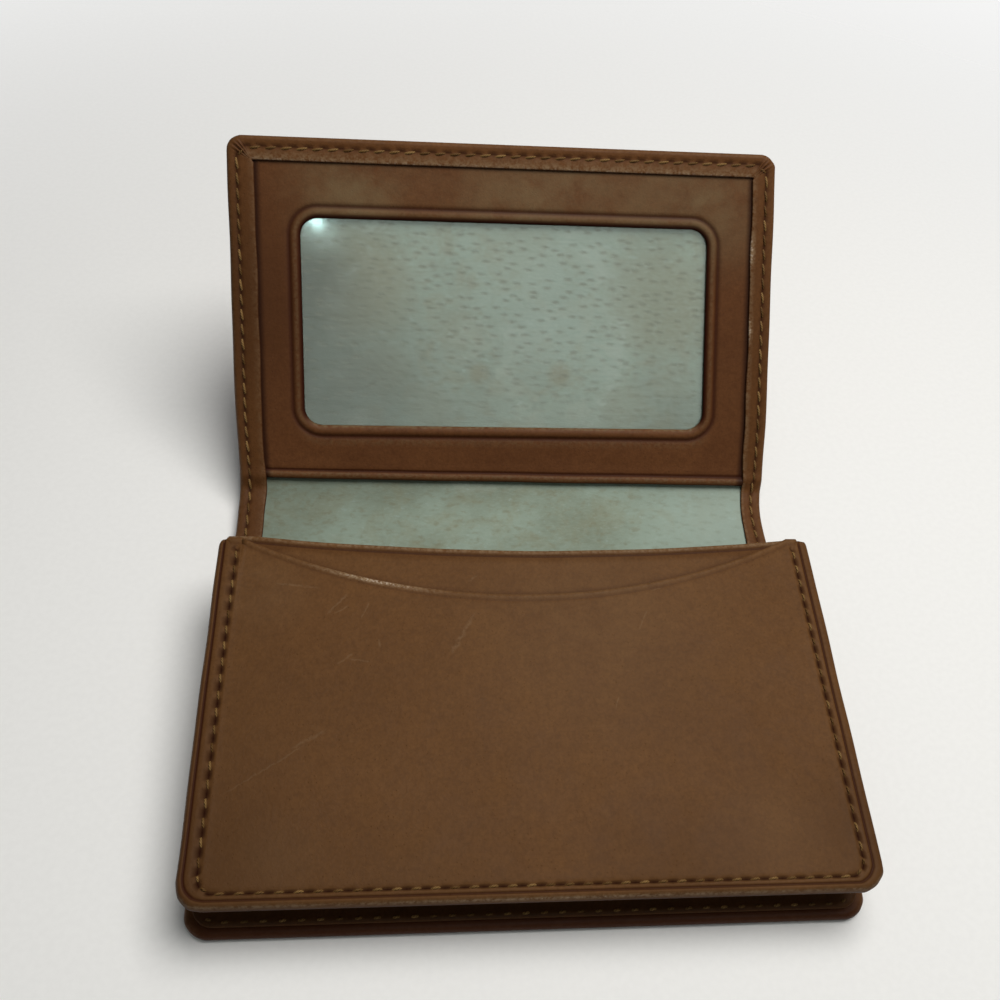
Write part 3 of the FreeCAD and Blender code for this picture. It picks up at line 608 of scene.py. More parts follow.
def twisted_thread(name):
    """Golden brown thread: plies wound round it with painted shade in the grooves between them, uneven dye, a
    soft gloss.
    """
    brown, golden, groove = (0.11, 0.052, 0.013), (0.27, 0.155, 0.052), (0.035, 0.014, 0.004)
    look = Look(name)
    along, around, number = look.split(look.flat())
    turn = look.plus(look.times(around, 3), along, 1.9)
    ply = look.size(look.math("SINE", look.times(turn, math.pi)))
    dye = look.add("ShaderNodeTexWhiteNoise", "Value", {"W": number}, noise_dimensions="1D")
    look.colour = look.mix(look.ramp(dye, 0, 1), brown, golden)
    # Painted shade in the grooves between the plies
    look.paint(groove, look.ramp(ply, 0, 0.55, 0.75, 0))
    rough = look.ramp(ply, 0, 1, 0.65, 0.45)
    return look.finish(rough, Normal=look.bump(ply, 0.07), Specular_IOR_Level=0.15)


def clear_film(name):
    """Thin vinyl: a faint mirror over what lies behind it, dulled by scuffs and smears except at the corner
    where it is taut.
    """
    look = Look(name)
    spot = look.flat()
    scuff = look.cuts((0.06, 1.4, 1), 0.9, 0.6)
    smear = look.noise(spot, 0.12, 4, 0.6)
    rough = look.plus(look.ramp(smear, 0.35, 0.7, 0.08, 0.14), scuff, 0.12)
    taut = look.near(look.flat((1, 1, 0)), -WINDOW_HALF + 2.6, WINDOW_HIGH - 0.6, 4)
    rough = look.plus(rough, taut, -0.055)
    look.colour = look.mix(look.ramp(smear, 0.3, 0.7), (0.84, 0.93, 0.9), (0.91, 0.99, 0.96))
    ripple = look.bump(look.noise(spot, 0.1, 1), 0.02)
    return look.finish(rough, Metallic=1, Alpha=0.09, Normal=ripple)


def paper_floor(name):
    """White paper that fades out at some distance from the part."""
    look = Look(name)
    spot = look.add("ShaderNodeTexCoord", "Object")
    speck = look.noise(spot, 900, 3)
    look.colour = look.mix(look.ramp(speck, 0.3, 0.7), (0.905, 0.905, 0.9), (0.925, 0.925, 0.92))
    away = look.add("ShaderNodeVectorMath", "Value", {0: spot}, operation="LENGTH")
    return look.finish(0.75, Specular_IOR_Level=0.2, Alpha=look.ramp(away, 0.12, 0.38, 1, 0))


# Materials
tan_pocket = leather(
    "tan_leather_pocket", (0.107, 0.0465, 0.015), (0.141, 0.0632, 0.0208), (0.3, 0.205, 0.12), gloss=0.07,
    scratches=[
        (-31.2, 48.3, 52, 5.6, 0.3), (-26.6, 47.1, 67, 3.6, 0.24), (-38, 51.8, -7, 8, 0.3),
        (-10.3, 42.8, 63, 9.6, 0.36), (-11.4, 41, 60, 5, 0.6), (-29.5, 38.2, 34, 3.6, 0.26),
        (-27.1, 37.9, -5, 3.8, 0.26), (-24.1, 41, -76, 1.8, 0.26), (-34.5, 24.6, 31, 6.6, 0.4),
        (-40.9, 19.9, 33, 16, 0.22), (-8.4, 53.9, 48, 1.8, 0.26), (23, 51, 20, 2.2, 0.22),
        (-30.5, 47.2, 30, 3, 0.2), (14, 30, 70, 2.5, 0.18), (20, 45, 65, 4.5, 0.18)],
    haze_and_sheen=[(-38, 7, 9, 0.14), (36, 8, 14, 0.08), (-44, 50, 12, 0.1), (12, 46, 34, 0.1)],
    # Painted shade towards the left and the front
    shade_and_grime=[(-56, 20, 45, 0.35), (-20, -7, 28, 0.52), (24, -7, 28, 0.52),
           (-48, 4, 22, 0.62), (51, 8, 18, 0.5)])
tan_cover = leather(
    "tan_leather_cover", (0.104, 0.0395, 0.0113), (0.14, 0.0555, 0.0163), (0.27, 0.175, 0.095),
    scratches=[(20, 20, 40, 14, 0.16), (-30, 40, -30, 9, 0.16), (10, 120, 20, 12, 0.16)],
    # Painted shade on the flap's left and right and on the spine's left
    shade_and_grime=on_flap((-58, 36, 40, 0.85), (58, 30, 40, 0.35), (-54, -6, 24, 0.55)))
tan_frame = leather(
    "tan_leather_frame", (0.1, 0.0355, 0.0116), (0.138, 0.052, 0.017), (0.205, 0.155, 0.08), grain=0.8,
    # Painted sheen near the frame's top, painted shade towards its sides and painted shadow along the hems'
    # inner edges
    haze_and_sheen=[(-30, LENGTH - 9, 18, 0.62), (8, LENGTH - 8, 34, 0.52), (38, LENGTH - 10, 20, 0.52)],
    shade_and_grime=on_flap((-58, 36, 38, 0.85), (58, 30, 36, 0.35)),
    hem_lines=(HEM + 0.55 - HALF_WIDTH, HALF_WIDTH - HEM - 0.05, LENGTH - HEM + 0.5, 1.25))
# A darker copy of the cover's leather: painted shade for the gusset in its cavity
shaded_gusset_leather = leather(
    "tan_leather_gusset_shaded", (0.062, 0.0245, 0.0075), (0.092, 0.0375, 0.0115), (0.15, 0.08, 0.04))
lining_skin = pigskin(
    "lining_pigskin_pale",
    stains=on_flap(
        (10.4, 22.7, 3.4, 1), (-5.5, 22.5, 3, 0.85), (-9, 31, 6, 0.4), (-29, 39, 15, 0.8),
        (-24, 23, 8, 0.5), (30, 37, 15, 0.55), (-2, 20, 3, 0.45), (3, 47, 9, 0.25),
        (-31, 21, 5, 0.35), (-15, 16, 6, 0.35), (23, 17, 7, 0.35), (33, 22, 6, 0.3)),
    smears=on_flap((-6, 29, 28, 4, 0.45), (9, 24, 10, 5, 0.28), (-4, 30, 4, 6, 0.28)),
    # Grimy spots at the stains, and painted shade towards the left
    shade_and_grime=on_flap(
        (-46, 26, 32, 0.82), (-52, -10, 24, 0.2), (-40, 15, 40, 0.76), (-43, 40, 22, 0.92),
        (-24, 19, 17, 0.42), (-36, 42, 9, 0.6), (10.4, 22.7, 2.8, 0.24), (-5.5, 22.5, 3, 0.16),
        (-10, 8, 20, 0.34), (36, 11, 22, 0.42)),
    # Pale bleaching, painted sheen on the spine's right and a painted reflection halo near the window's
    # corner
    bleach_and_sheen=on_flap((46, -9, 26, 0.6), (10, 42, 26, 0.3), (5, 28, 10, 0.26), (-34.5, 49, 6, 0.4)))
thread_look = twisted_thread("thread_twisted")
film_look = clear_film("clear_film_vinyl")


# Cover
def hem_top(along):
    """Height of the turned hem: on the lining, and from the frame's lower edge up on the frame."""
    return BACK_HEM + (FLAP_HEM - BACK_HEM) * smoothstep(FRAME_START - 2.2, FRAME_START + 1.2, along)


# Rows of (inset, level from the outer face to the hem, drop below the hem)
COVER_SECTION = (
    [(inset, 0, 0) for inset in (5.6, 4, 2.9, 2.35, 2, 1.65, 1.3)]
    + [(inset, level, 0) for inset, level in roll_section(ROLL)]
    + [(inset, 1, 0) for inset in (1, 1.3, 1.65, 2, 2.35, 2.8, 3.5, 4.1)]
    + [(4.4, 1, 0.04), (4.55, 1, 0.14), (HEM, 1, 0.28)]
    + [(4.55, 1, 0.42), (4.3, 1, 0.5), (3.4, 1, 0.5)]
)


def seam_stray(rim):
    """How far the flap's seam strays inwards from its inset: most along the top edge."""
    return 0.35 * np.abs(rim.inward[:, 1])


def cover(name, lower):
    """Half of the hide, from the middle of the spine to one end, with its edges turned in and sewn."""
    length = SPLIT if lower else LENGTH - SPLIT
    corner = BACK_CORNER if lower else FLAP_CORNER
    rim = Rim(HALF_WIDTH, length, corner, STITCH_INSET, 2 if lower else 1, 20 if lower else 40)
    shape, rows = Shape(), Rows()
    across, onward = rim.inward.T
    at_right = across < -0.5
    at_corner = np.sin(2 * rim.turn) ** 2
    waves = 0.5 - 0.5 * np.cos(20 * rim.turn)
    lap = smoothstep(0.56, 0.44, np.abs(rim.turn / math.pi * 2 - 1))
    for inset, level, drop in COVER_SECTION:
        ring = rim.ring(inset)
        along = ring[:, 1] if lower else LENGTH - ring[:, 1]
        upper = level == 1 and drop < 0.3

        hem_share = smoothstep(2.8, HEM, inset) * (level == 1)
        uneven = 0.25 * across + 0.3 * np.abs(across) - 0.45 * np.abs(onward)
        uneven = uneven + 0.16 * wander(along + 8 * ring[:, 0], 23, 1)
        uneven = uneven - 0.7 * hump(FLAP_AT - 5, 14, along) * at_right
        edge_slack = 0.1 * wander(along + 30 * rim.turn, 31, 4) * smoothstep(2.5, 0, inset)
        ring = rim.moved(ring, hem_share * uneven - edge_slack)
        if not lower:
            ring = rim.moved(ring, seam_stray(rim) * hump(STITCH_INSET, 1.8, inset))

        sewn = hump(STITCH_INSET, 0.6, inset) * (level in (0, 1)) * (drop == 0)
        dip = sewn * (0.1 + 0.12 * rim.hole()) * (1 if level == 1 else -1)
        gather = hump(2.1, 2.1, inset) * upper * (not lower)
        height = FACE + level * (hem_top(along) - FACE) - drop
        height = height - dip + gather * at_corner * (0.26 * waves + 0.18 * lap)

        outer = hump(0.25, 0.9, inset) if 0 < level else 0
        frays = np.maximum(hump(FLAP_AT + 47, 4.5, along), hump(FLAP_AT + 32, 3.5, along)) * at_right
        edge_rub = 0.3 + 0.5 * (across < 0.5) + 1.1 * frays
        # Painted highlight along the top hem, added to the same mark as the worn edges
        sheen = 0.55 * hump(3.7, 1.4, inset) * upper * (not lower) * np.abs(onward)
        # Painted shade in the corner pleats, on the back cover's front edge and on the rows under the hem's
        # turned edge
        fold_shade = 0.9 * (1 - waves) * at_corner * gather
        front_edge_shade = smoothstep(2.8, 1.1, inset) * lower * (0 < level) * onward
        rows.add(spread(ring[:, 0], along, height),
                 wear=0.3 * outer + edge_rub * hump(4.4, 0.7, inset) * upper + sheen,
                 pit=0.8 * sewn * rim.hole(),
                 crease=(drop > 0.1) + fold_shade + front_edge_shade)
    numbers = rows.patch(shape, flip=not lower)
    x, along = rim.inner_grid(COVER_GRID)
    inside = shape.patch(spread(x, along if lower else LENGTH - along, FACE), flip=lower)
    shape.step_down(numbers[0], rim.grid_border(inside), flip=lower)
    return shape.build(name, fold, tan_cover, "tan_leather"), rim


def blend_at_spine(piece):
    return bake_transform(piece)


def blend_at_flap(piece):
    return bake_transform(piece)


def lining(name, start, stop):
    """Sheet of lining under the hems, in two faces."""
    shape = Shape()
    half = HALF_WIDTH - LINING_MARGIN
    rows = max(2, round((stop - start) / 1.2))
    x, along = np.meshgrid(np.linspace(-half, half, 60), np.linspace(start, stop, rows))
    ripple = 0.05 * wander(x + 0.3 * along, 17, 2) * smoothstep(0, 8, half - np.abs(x))
    shape.patch(spread(x, along, LINING_TOP + ripple - 0.03))
    shape.patch(spread(x, along, LINING_UNDER + 0.02), flip=True)
    return shape.build(name, fold, lining_skin, "lining_pigskin")


# Window flap
def frame_section():
    """Section of the frame outwards from the window: (offset, height), with a bead and a pressed groove."""
    under, top = FRAME_UNDER + 0.02, FRAME_TOP
    return [(1.4, under), (0.3, under), (0.05, under + 0.06), (0, under + 0.18), (0.1, under + 0.34),
            (0.32, top - 0.18), (0.55, top - 0.02), (0.8, top + 0.1), (1.15, top + 0.14), (1.5, top + 0.09),
            (1.75, top - 0.03), (1.95, top - 0.17), (2.15, top - 0.22), (2.4, top - 0.15), (2.7, top - 0.03),
            (3.1, top), (FRAME_RING, top)]


# Rows of the frame's lower strip: (distance from its edge, rise, painted shade, worn colour and painted
# highlight)
STRIP_SECTION = [
    (FRAME_STRIP, 0, 0, 0), (3.6, 0, 0, 0), (2.75, -0.01, 0.1, 0), (2.35, -0.09, 0.9, 0), (2.05, -0.25, 1, 0),
    (1.82, -0.12, 0.9, 0), (1.56, 0.06, 0.1, 0.2), (1.15, 0.17, 0, 0.45), (0.68, 0.12, 0, 0.4),
    (0.24, -0.1, 0, 0.1), (0, -0.4, 0.4, 0), (0.1, -0.66, 0.9, 0), (0.5, -0.8, 1, 0), (4, -0.72, 1, 0)]


def window_ring(offset, steps=10, side=24, end=42):
    """Rounded outline at an offset outside the window, as (x, along)."""
    r = WINDOW_CORNER + offset
    x, low, high = WINDOW_HALF + offset - r, WINDOW_LOW - offset + r, WINDOW_HIGH + offset - r
    arcs = []
    for cx, cy, start in ((x, high, 0), (-x, high, 90), (-x, low, 180), (x, low, 270)):
        angles = np.radians(start + np.linspace(0, 90, steps + 1))
        arcs.append(spread(cx + r * np.cos(angles), cy + r * np.sin(angles)))
    ring = []
    for k, arc in enumerate(arcs):
        after = arcs[(k + 1) % 4][0]
        count = end if k % 2 == 0 else side
        straight = arc[-1] + (after - arc[-1]) * np.linspace(0, 1, count + 1)[1:-1, None]
        ring += [arc, straight]
    return np.concatenate(ring)


def window_frame(name):
    """Frame with a bead round the window, flat leather out to the hems and a bead at the lower edge."""
    shape, rows = Shape(), Rows()
    for offset, height in frame_section():
        ring = window_ring(offset)
        below = smoothstep(WINDOW_LOW + 2.5, WINDOW_LOW - 0.2, ring[:, 1] + offset)
        # Worn bead, with painted highlights along the window's lower edge and just below its pressed groove
        # there
        rub_and_highlight = (0.4 - 0.3 * below) * hump(1, 0.7, offset) * (height > FRAME_TOP)
        rub_and_highlight = rub_and_highlight + below * (0.9 * hump(0.15, 0.5, offset) + 0.5 * hump(2.9, 0.4, offset))
        # Painted shade in the pressed groove, and a painted shadow along the window's edge, weaker at the
        # lower edge
        crease = hump(2.15, 0.75, offset) + 1.3 * hump(0.12, 0.8, offset) * (1 - below)
        rows.add(spread(*ring.T, height), crease=crease, wear=rub_and_highlight)

    low, high = FRAME_START + FRAME_STRIP, LENGTH - FRAME_MARGIN
    half = HALF_WIDTH - FRAME_MARGIN
    ring = window_ring(FRAME_RING)
    middle = np.array([0, (WINDOW_LOW + WINDOW_HIGH) / 2])
    reach_x, reach_y = WINDOW_HALF + FRAME_RING, (WINDOW_HIGH - WINDOW_LOW) / 2 + FRAME_RING
    away = ring - middle
    scale = np.maximum(np.abs(away[:, 0]) / reach_x, np.abs(away[:, 1]) / reach_y)
    square = away / scale[:, None]
    rise = np.where(square[:, 1] > 0, high - middle[1], middle[1] - low)
    outer = spread(square[:, 0] / reach_x * half, middle[1] + square[:, 1] / reach_y * rise)
    for share in (0.35, 0.7, 1):
        spot = ring + (outer - ring) * share
        swell = 0.05 * wander(spot[:, 0] + 2 * spot[:, 1], 27, 3) * (share < 1)
        rows.add(spread(*spot.T, FRAME_TOP + swell), crease=0, wear=0)
    rows.patch(shape, flip=True, closed=True)

    bottom = np.flatnonzero(np.abs(outer[:, 1] - low) < 1e-6)
    x = np.sort(outer[bottom, 0])
    strip = Rows()
    for back, rise, crease, rub_and_highlight in STRIP_SECTION:
        along = FRAME_START + back + (FRAME_TILT * x + 0.1 * wander(x, 41, 2.5)) * smoothstep(4.5, 1.6, back)
        strip.add(spread(x, along, FRAME_TOP + rise), crease=crease, wear=rub_and_highlight)
    strip.patch(shape, flip=True)
    return shape.build(name, fold, tan_frame, "tan_leather")


def window_film(name):
    """Film with a slight crown, pulled down where the frame holds it."""
    shape = Shape()
    half = WINDOW_HALF + FILM_MARGIN
    x, along = np.meshgrid(np.linspace(-half, half, 50),
                           np.linspace(WINDOW_LOW - FILM_MARGIN, WINDOW_HIGH + FILM_MARGIN, 30))
    across, up = WINDOW_HALF - np.abs(x), np.minimum(along - WINDOW_LOW, WINDOW_HIGH - along)
    crown = FILM_CROWN * smoothstep(-2, 9, across) * smoothstep(-2, 9, up)
    ripple = FILM_RIPPLE * wander(x + 0.7 * along, 47, 1)
    crown = crown + ripple * smoothstep(0, 9, across) * smoothstep(0, 9, up)
    base = FRAME_UNDER - 0.24
    shape.patch(spread(x, along, base + crown + 0.1))
    shape.patch(spread(x, along, base + crown), flip=True)
    return shape.build(name, fold, film_look, "clear_film")


# Pocket
def scoop_edge(x):
    radius = (SCOOP_HALF ** 2 + SCOOP_DEPTH ** 2) / (2 * SCOOP_DEPTH)
    x = np.minimum(np.abs(x), SCOOP_HALF)
    return POCKET_LENGTH - SCOOP_DEPTH + radius - np.sqrt(radius ** 2 - x ** 2)


def horn_drop(inset):
    """How far the pocket's top corners are rounded off at an inset from its side."""
    inside = np.clip(HORN - inset, 0, HORN)
    return HORN - np.sqrt(HORN ** 2 - inside ** 2)


# Rows of (inset, level from the underside to the face, drop below the face)
POCKET_SECTION = (
    [(4.4, 0, 0), (3, 0, 0), (1.4, 0, 0)]
    + [(inset, level, 0) for inset, level in roll_section(0.75, 13)]
    + [(0.84, 1, 0.03), (0.97, 1, 0.14), (1.08, 1, 0.2), (1.2, 1, 0.13), (1.4, 1, 0)]
    + [(inset, 1, 0) for inset in (1.75, 2.05, 2.3, 2.55, 2.8, 3.2, 4, 5)]
)
# Rows of the scoop's lip: (distance from its edge, rise, painted shade, worn colour and painted highlight)
LIP_SECTION = [
    (1.6, -0.01, 0.1, 0), (1.38, -0.05, 0.35, 0), (1.22, -0.02, 0.2, 0), (1, 0.06, 0, 0.2),
    (0.75, 0.12, 0, 0.5), (0.5, 0.13, 0, 0.6), (0.28, 0.06, 0, 0.4), (0.1, -0.07, 0, 0.2),
    (0, -0.32, 0.2, 0), (0.04, -0.56, 1, 0), (0.3, -0.76, 1, 0), (3.5, -0.8, 1, 0)]
LIP_REACH, CAP_REACH = 2, 0.6
LIP_INSET = 1.4
# Rows that close the ends of the rolled rim: (lift, share of the rim's thickness)
HORN_CAP = ((0.25, 0.92), (0.5, 0.7), (0.6, 0.35), (0.62, 0))


def seam_lean(rim, along):
    """How far the pocket's seam strays inwards from its inset, most of all at the top left."""
    lean = 0.95 * np.abs(rim.inward[:, 0]) - 0.34 * rim.inward[:, 1]
    return lean + 0.25 * (rim.inward[:, 0] > 0.5) * smoothstep(38, 61, along)


def lean_share(inset):
    """Share of the seam's lean that the panel takes up at an inset."""
    return hump(2.7, 1.6, inset)


def scoop_panel(name):
    """Front slip pocket: rolled and sewn rim, slightly domed face, beaded lip and rounded horns."""
    rim = Rim(HALF_WIDTH, POCKET_LENGTH - LIP_REACH, POCKET_CORNER, POCKET_STITCH_INSET, 2, 20)
    shape, rows, edges = Shape(), Rows(), []
    across, onward = rim.inward.T
    for inset, level, drop in POCKET_SECTION:
        face = level == 1
        edge = min(POCKET_LENGTH + 1.2 * hump(1.7, 2.4, inset), scoop_edge(HALF_WIDTH - inset))
        edge = edge - horn_drop(inset)
        edges.append(edge)
        ring = rim.ring(inset, edge - (LIP_REACH if face and inset > LIP_INSET else CAP_REACH))
        groove = 0.7 * np.clip(-across, 0, 1) * hump(1.1, 1.3, inset) * face
        ring = rim.moved(ring, seam_lean(rim, ring[:, 1]) * lean_share(inset) * face + groove)
        slack = 0.1 * wander(ring[:, 1] + 30 * rim.turn, 29, 2) * smoothstep(2, 0, inset)
        ring = rim.moved(ring, -slack)

        sewn = hump(POCKET_STITCH_INSET, 0.5, inset) * face
        puff = 0.05 * hump(3.4, 1.2, inset) * face
        height = level * POCKET_STACK - drop - sewn * (0.08 + 0.26 * rim.hole()) + puff
        # Worn colour and a painted highlight on the roll's crest, more at the front
        rolled = hump(0.84, 0.16, level)
        # Painted shade on the side rolls and the strip left of the seam; the rows also take painted shade in
        # the groove and on the roll's lower half
        side_shade = 0.16 * np.abs(across) * (inset < 1.3) * (level > 0.4)
        side_shade = side_shade + 0.12 * (across > 0.5) * (inset < 2.2) * (level > 0.4)
        rows.add(spread(*ring.T, height),
                 wear=rolled * (0.3 + onward * (0.35 + 0.5 * hump(5, 45, ring[:, 0]))),
                 pit=sewn * rim.hole(),
                 crease=0.9 * (drop > 0.1) + 0.9 * smoothstep(0.7, 0.4, level) + side_shade)
    numbers = rows.patch(shape)

    x, even = rim.inner_grid(POCKET_GRID)
    share = (even - POCKET_GRID) / (rim.length - POCKET_GRID)
    along = POCKET_GRID + share * (scoop_edge(x) - LIP_REACH - POCKET_GRID)
    arch = np.sin(math.pi * np.clip(share, 0, 1))
    swell = arch * (0.16 * (1 - (x / HALF_WIDTH) ** 2) + 0.05 * wander(x + 1.7 * along, 37, 1.5))
    inside = shape.patch(spread(x, along, POCKET_STACK + swell))
    shape.step_down(numbers[-1], rim.grid_border(inside))

    rows = np.array(rows.points)
    top = [k for k, (inset, level, _) in enumerate(POCKET_SECTION) if level == 1 and inset >= LIP_INSET]
    base = np.concatenate([rows[top, 0], spread(x[-1], along[-1], POCKET_STACK), rows[top[::-1], -1]])
    horns = [edges[k] for k in top]
    edge = np.concatenate([horns, scoop_edge(x[-1]), horns[::-1]])
    lip = Rows()
    lip.add(base, wear=0, crease=0)
    # Painted highlight and worn colour along the lip, strongest left of the middle; painted shade under it
    bright = 0.22 + 2.6 * hump(-25, 14, base[:, 0])
    for back, rise, crease, rub_and_highlight in LIP_SECTION:
        reach = back if back > LIP_REACH else np.minimum(back, edge - base[:, 1])
        lip.add(spread(base[:, 0], edge - reach, POCKET_STACK + rise), wear=rub_and_highlight * bright, crease=crease)
    lip.patch(shape)
    for side in (0, -1):
        section = rows[:top[0] + 1, side]
        cap = [section]
        for lift, shrink in HORN_CAP:
            height = POCKET_STACK / 2 + (section[:, 2] - POCKET_STACK / 2) * shrink
            cap.append(spread(section[:, 0], section[:, 1] + lift, height))
        # The horn caps take a little worn colour and painted shade
        shape.patch(np.array(cap), flip=side != 0, wear=0.2, crease=0.3)
    return shape.build(name, pocket_place, tan_pocket, "tan_leather"), rim


def wall_edge(x):
    return np.minimum(WALL_LOW + WALL_BOW * (np.asarray(x) - WALL_MIDDLE) ** 2, WALL_HIGH)


# Rows of (distance from the front, scaled to the pocket's length, rise, painted shade)
WALL_SECTION = (
    [(0, 0, 0), (30, 0, 0), (45, 0, 0)]
    + [(48 + 0.8 * k, 0, 0) for k in range(14)]
    + [(59.7, -0.02, 0.3), (60.05, -0.19, 1), (60.28, -0.05, 0.5), (60.55, 0.1, 0), (60.9, 0.15, 0),
       (61.2, 0.04, 0), (61.42, -0.22, 0), (61.5, -0.55, 0), (61.38, -0.85, 0), (61, -1, 0.3),
       (56, -0.8, 0.6), (20, -0.8, 0.6), (0, -0.8, 0.6)]
)


def pocket_wall(name):
    """Wall behind the scoop, with a bead along its bowed top edge and the scoop's shadow on it."""
    shape, rows = Shape(), Rows()
    half = HALF_WIDTH - WALL_MARGIN
    x = np.linspace(-half, half, 64)
    for reach, rise, crease in WALL_SECTION:
        along = WALL_START + (wall_edge(x) - WALL_START) * reach / POCKET_LENGTH
        along = along + 0.08 * wander(x, 33, 5) * (reach > 60)
        shadow = 0.55 * hump(0.1, 1.3, along - scoop_edge(x)) * (rise == 0)
        rows.add(spread(x, along, WALL_TOP + rise), crease=crease + shadow,
                 wear=0.75 * hump(61, 0.7, reach))
    rows.patch(shape)
    return shape.build(name, pocket_place, tan_pocket, "tan_leather")


def pocket_lining(name):
    """Lining on the wall's hidden side, in two faces."""
    shape = Shape()
    half = HALF_WIDTH - WALL_MARGIN
    x, share = np.meshgrid(np.linspace(-half, half, 50), np.linspace(0, 1, 40))
    along = WALL_START + share * (wall_edge(x) - SKIN_SHORT - WALL_START)
    shape.patch(spread(x, along, SKIN_UNDER), flip=True)
    shape.patch(spread(x, along, SKIN_TOP))
    return shape.build(name, pocket_place, lining_skin, "lining_pigskin")


# Gusset
def gusset_section():
    """Rows of (inset, level from the back to the pocket, extra thickness), without an inset on the pleat."""
    leaf = np.linspace(0, 1, 15)
    thick = GUSSET_THICKNESS
    section = [(1.35, 0, 0.02), (1.3, 0, 0.25), (1.45, 0, thick), (2, 0, thick), (2.7, 0, thick)]
    section += [(None, share, 0) for share in leaf]
    section += [(2.7, 1, -thick), (2, 1, -thick), (1.45, 1, -thick)]
    section += [(1.3, 1, -0.25), (1.35, 1, -0.02), (4, 1, -0.02)]
    section += [(None, share, thick) for share in leaf[::-1]]
    section += [(4, 0, 0.02)]
    return section


def gusset(name):
    """Strip with one soft inward pleat, from the seam on the back to the seam under the pocket."""
    shape = Shape()
    rim = Rim(HALF_WIDTH, GUSSET_END - FRONT, BACK_CORNER, STITCH_INSET, 2, 20)
    low = SPINE_AXIS.z + BACK_HEM + 0.02
    rows = []
    for inset, share, extra in gusset_section():
        pleat = inset is None
        ring = rim.ring(GUSSET_INSET if pleat else inset)
        y = FRONT + ring[:, 1]
        gap = POCKET_LIFT - 0.12 + (y - POCKET_FRONT) * math.tan(POCKET_TURN) - low
        z = low + share * gap + extra
        if pleat:
            depth = np.sqrt(np.maximum(GUSSET_LEAF ** 2 - (gap / 2) ** 2, 1))
            fold_in = depth * math.sin(math.pi * share) ** 0.85 + extra * 1.3
            fold_in = fold_in + 0.25 * wander(y + 25 * rim.turn, 19, 3) * math.sin(math.pi * share)
            reach = GUSSET_INSET + fold_in
            ring[:, 0] = np.clip(ring[:, 0], reach - HALF_WIDTH, HALF_WIDTH - reach)
            ring[:, 1] = np.maximum(ring[:, 1], reach)
            z = low + GUSSET_THICKNESS * (1 - share) + share * (gap - GUSSET_THICKNESS)
        y = FRONT + ring[:, 1] + share * 1.1 * hump(0, 40, ring[:, 1])
        rows.append(spread(ring[:, 0], y, z))
    rows.append(rows[0])
    # The whole gusset takes a little painted shade
    shape.patch(np.array(rows), crease=0.15)
    return shape.build(name, as_is, shaded_gusset_leather, "tan_leather")


# Threads
def stitches(spots, up, girth, share):
    """Arched slanting stitches between following holes, each with its thread coordinates.

    Spots are (first, last) points, up is the way out of the leather, share is the part of a step that shows.
    """
    sides, rings = 8, 9
    shortest, longest = 0.8, PITCH * 1.15
    around = np.linspace(0, 2 * math.pi, sides, endpoint=False)
    run = np.linspace(0, 1, rings)
    arch = 0.4 * np.sin(math.pi * run) ** 0.7 - 0.34
    radius = girth * (0.82 + 0.18 * np.sin(math.pi * run))
    for number, (first, last) in enumerate(spots):
        middle, way = (first + last) / 2, last - first
        step = np.linalg.norm(way)
        if step < shortest:
            continue
        way = way / step
        side = np.cross(up, way)
        way = way * math.cos(SLANT) + side * math.sin(SLANT)
        side = np.cross(up, way)
        length = min(step, longest) * share
        centre = middle + np.outer((run - 0.5) * length, way) + np.outer(arch, up)
        ring = np.cos(around)[None, :, None] * side + 0.85 * np.sin(around)[None, :, None] * up
        points = centre[:, None, :] + radius[:, None, None] * ring
        yield points, spread((run * length)[:, None], (around / (2 * math.pi))[None, :], float(number))


def seam(name, rim, line, height, place, up, flap=False, girth=THREAD, share=0.62):
    """Thread piece along a rim's stitch line. Its height is a number or depends on the place along it."""
    along = LENGTH - line[:, 1] if flap else line[:, 1]
    spots = spread(line[:, 0], along, height(along) if callable(height) else height)
    pairs = [(spots[a], spots[b]) for a, b in rim.pairs()]
    shape = Shape()
    coordinates = []
    for points, marks in stitches(pairs, np.array([0, 0, up]), girth, share):
        shape.quads(shape.add(points), closed=True)
        coordinates.append(marks.reshape(-1, 3))
    piece = shape.build(name, place, thread_look, "thread")
    flat = np.concatenate(coordinates).astype(np.float32).ravel()
    piece.data.attributes["flat"].data.foreach_set("vector", flat)
    return piece


def on_gusset(along):
    return np.where(FRONT + along < GUSSET_END, BACK_HEM + GUSSET_THICKNESS - 0.08, BACK_HEM)


# Assembly
lower_cover, lower_rim = cover("cover_back", True)
upper_cover, upper_rim = cover("cover_flap", False)
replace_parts(blend_at_spine(lower_cover), "back_cover", "spine_cover")
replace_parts(blend_at_flap(upper_cover), "flap_cover", "spine_cover")
lower_lining = lining("lining_back", LINING_MARGIN, SPLIT)
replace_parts(blend_at_spine(lower_lining), "back_lining", "spine_lining")
upper_lining = lining("lining_flap", SPLIT, LENGTH - LINING_MARGIN)
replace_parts(blend_at_flap(upper_lining), "flap_lining", "spine_lining")
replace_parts(blend_at_flap(window_frame("frame_leather")), "window_frame")
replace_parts(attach(window_film("film_clear"), "flap"), "window_film")

front_panel, pocket_rim = scoop_panel("pocket_front")
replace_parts(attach(front_panel, "pocket"), "scoop_panel")
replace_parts(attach(pocket_wall("pocket_inner_wall"), "pocket"), "pocket_wall")
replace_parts(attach(pocket_lining("pocket_skin"), "pocket"), "pocket_lining")
gusset_piece = gusset("gusset_pleated")
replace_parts(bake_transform(gusset_piece), "gusset")

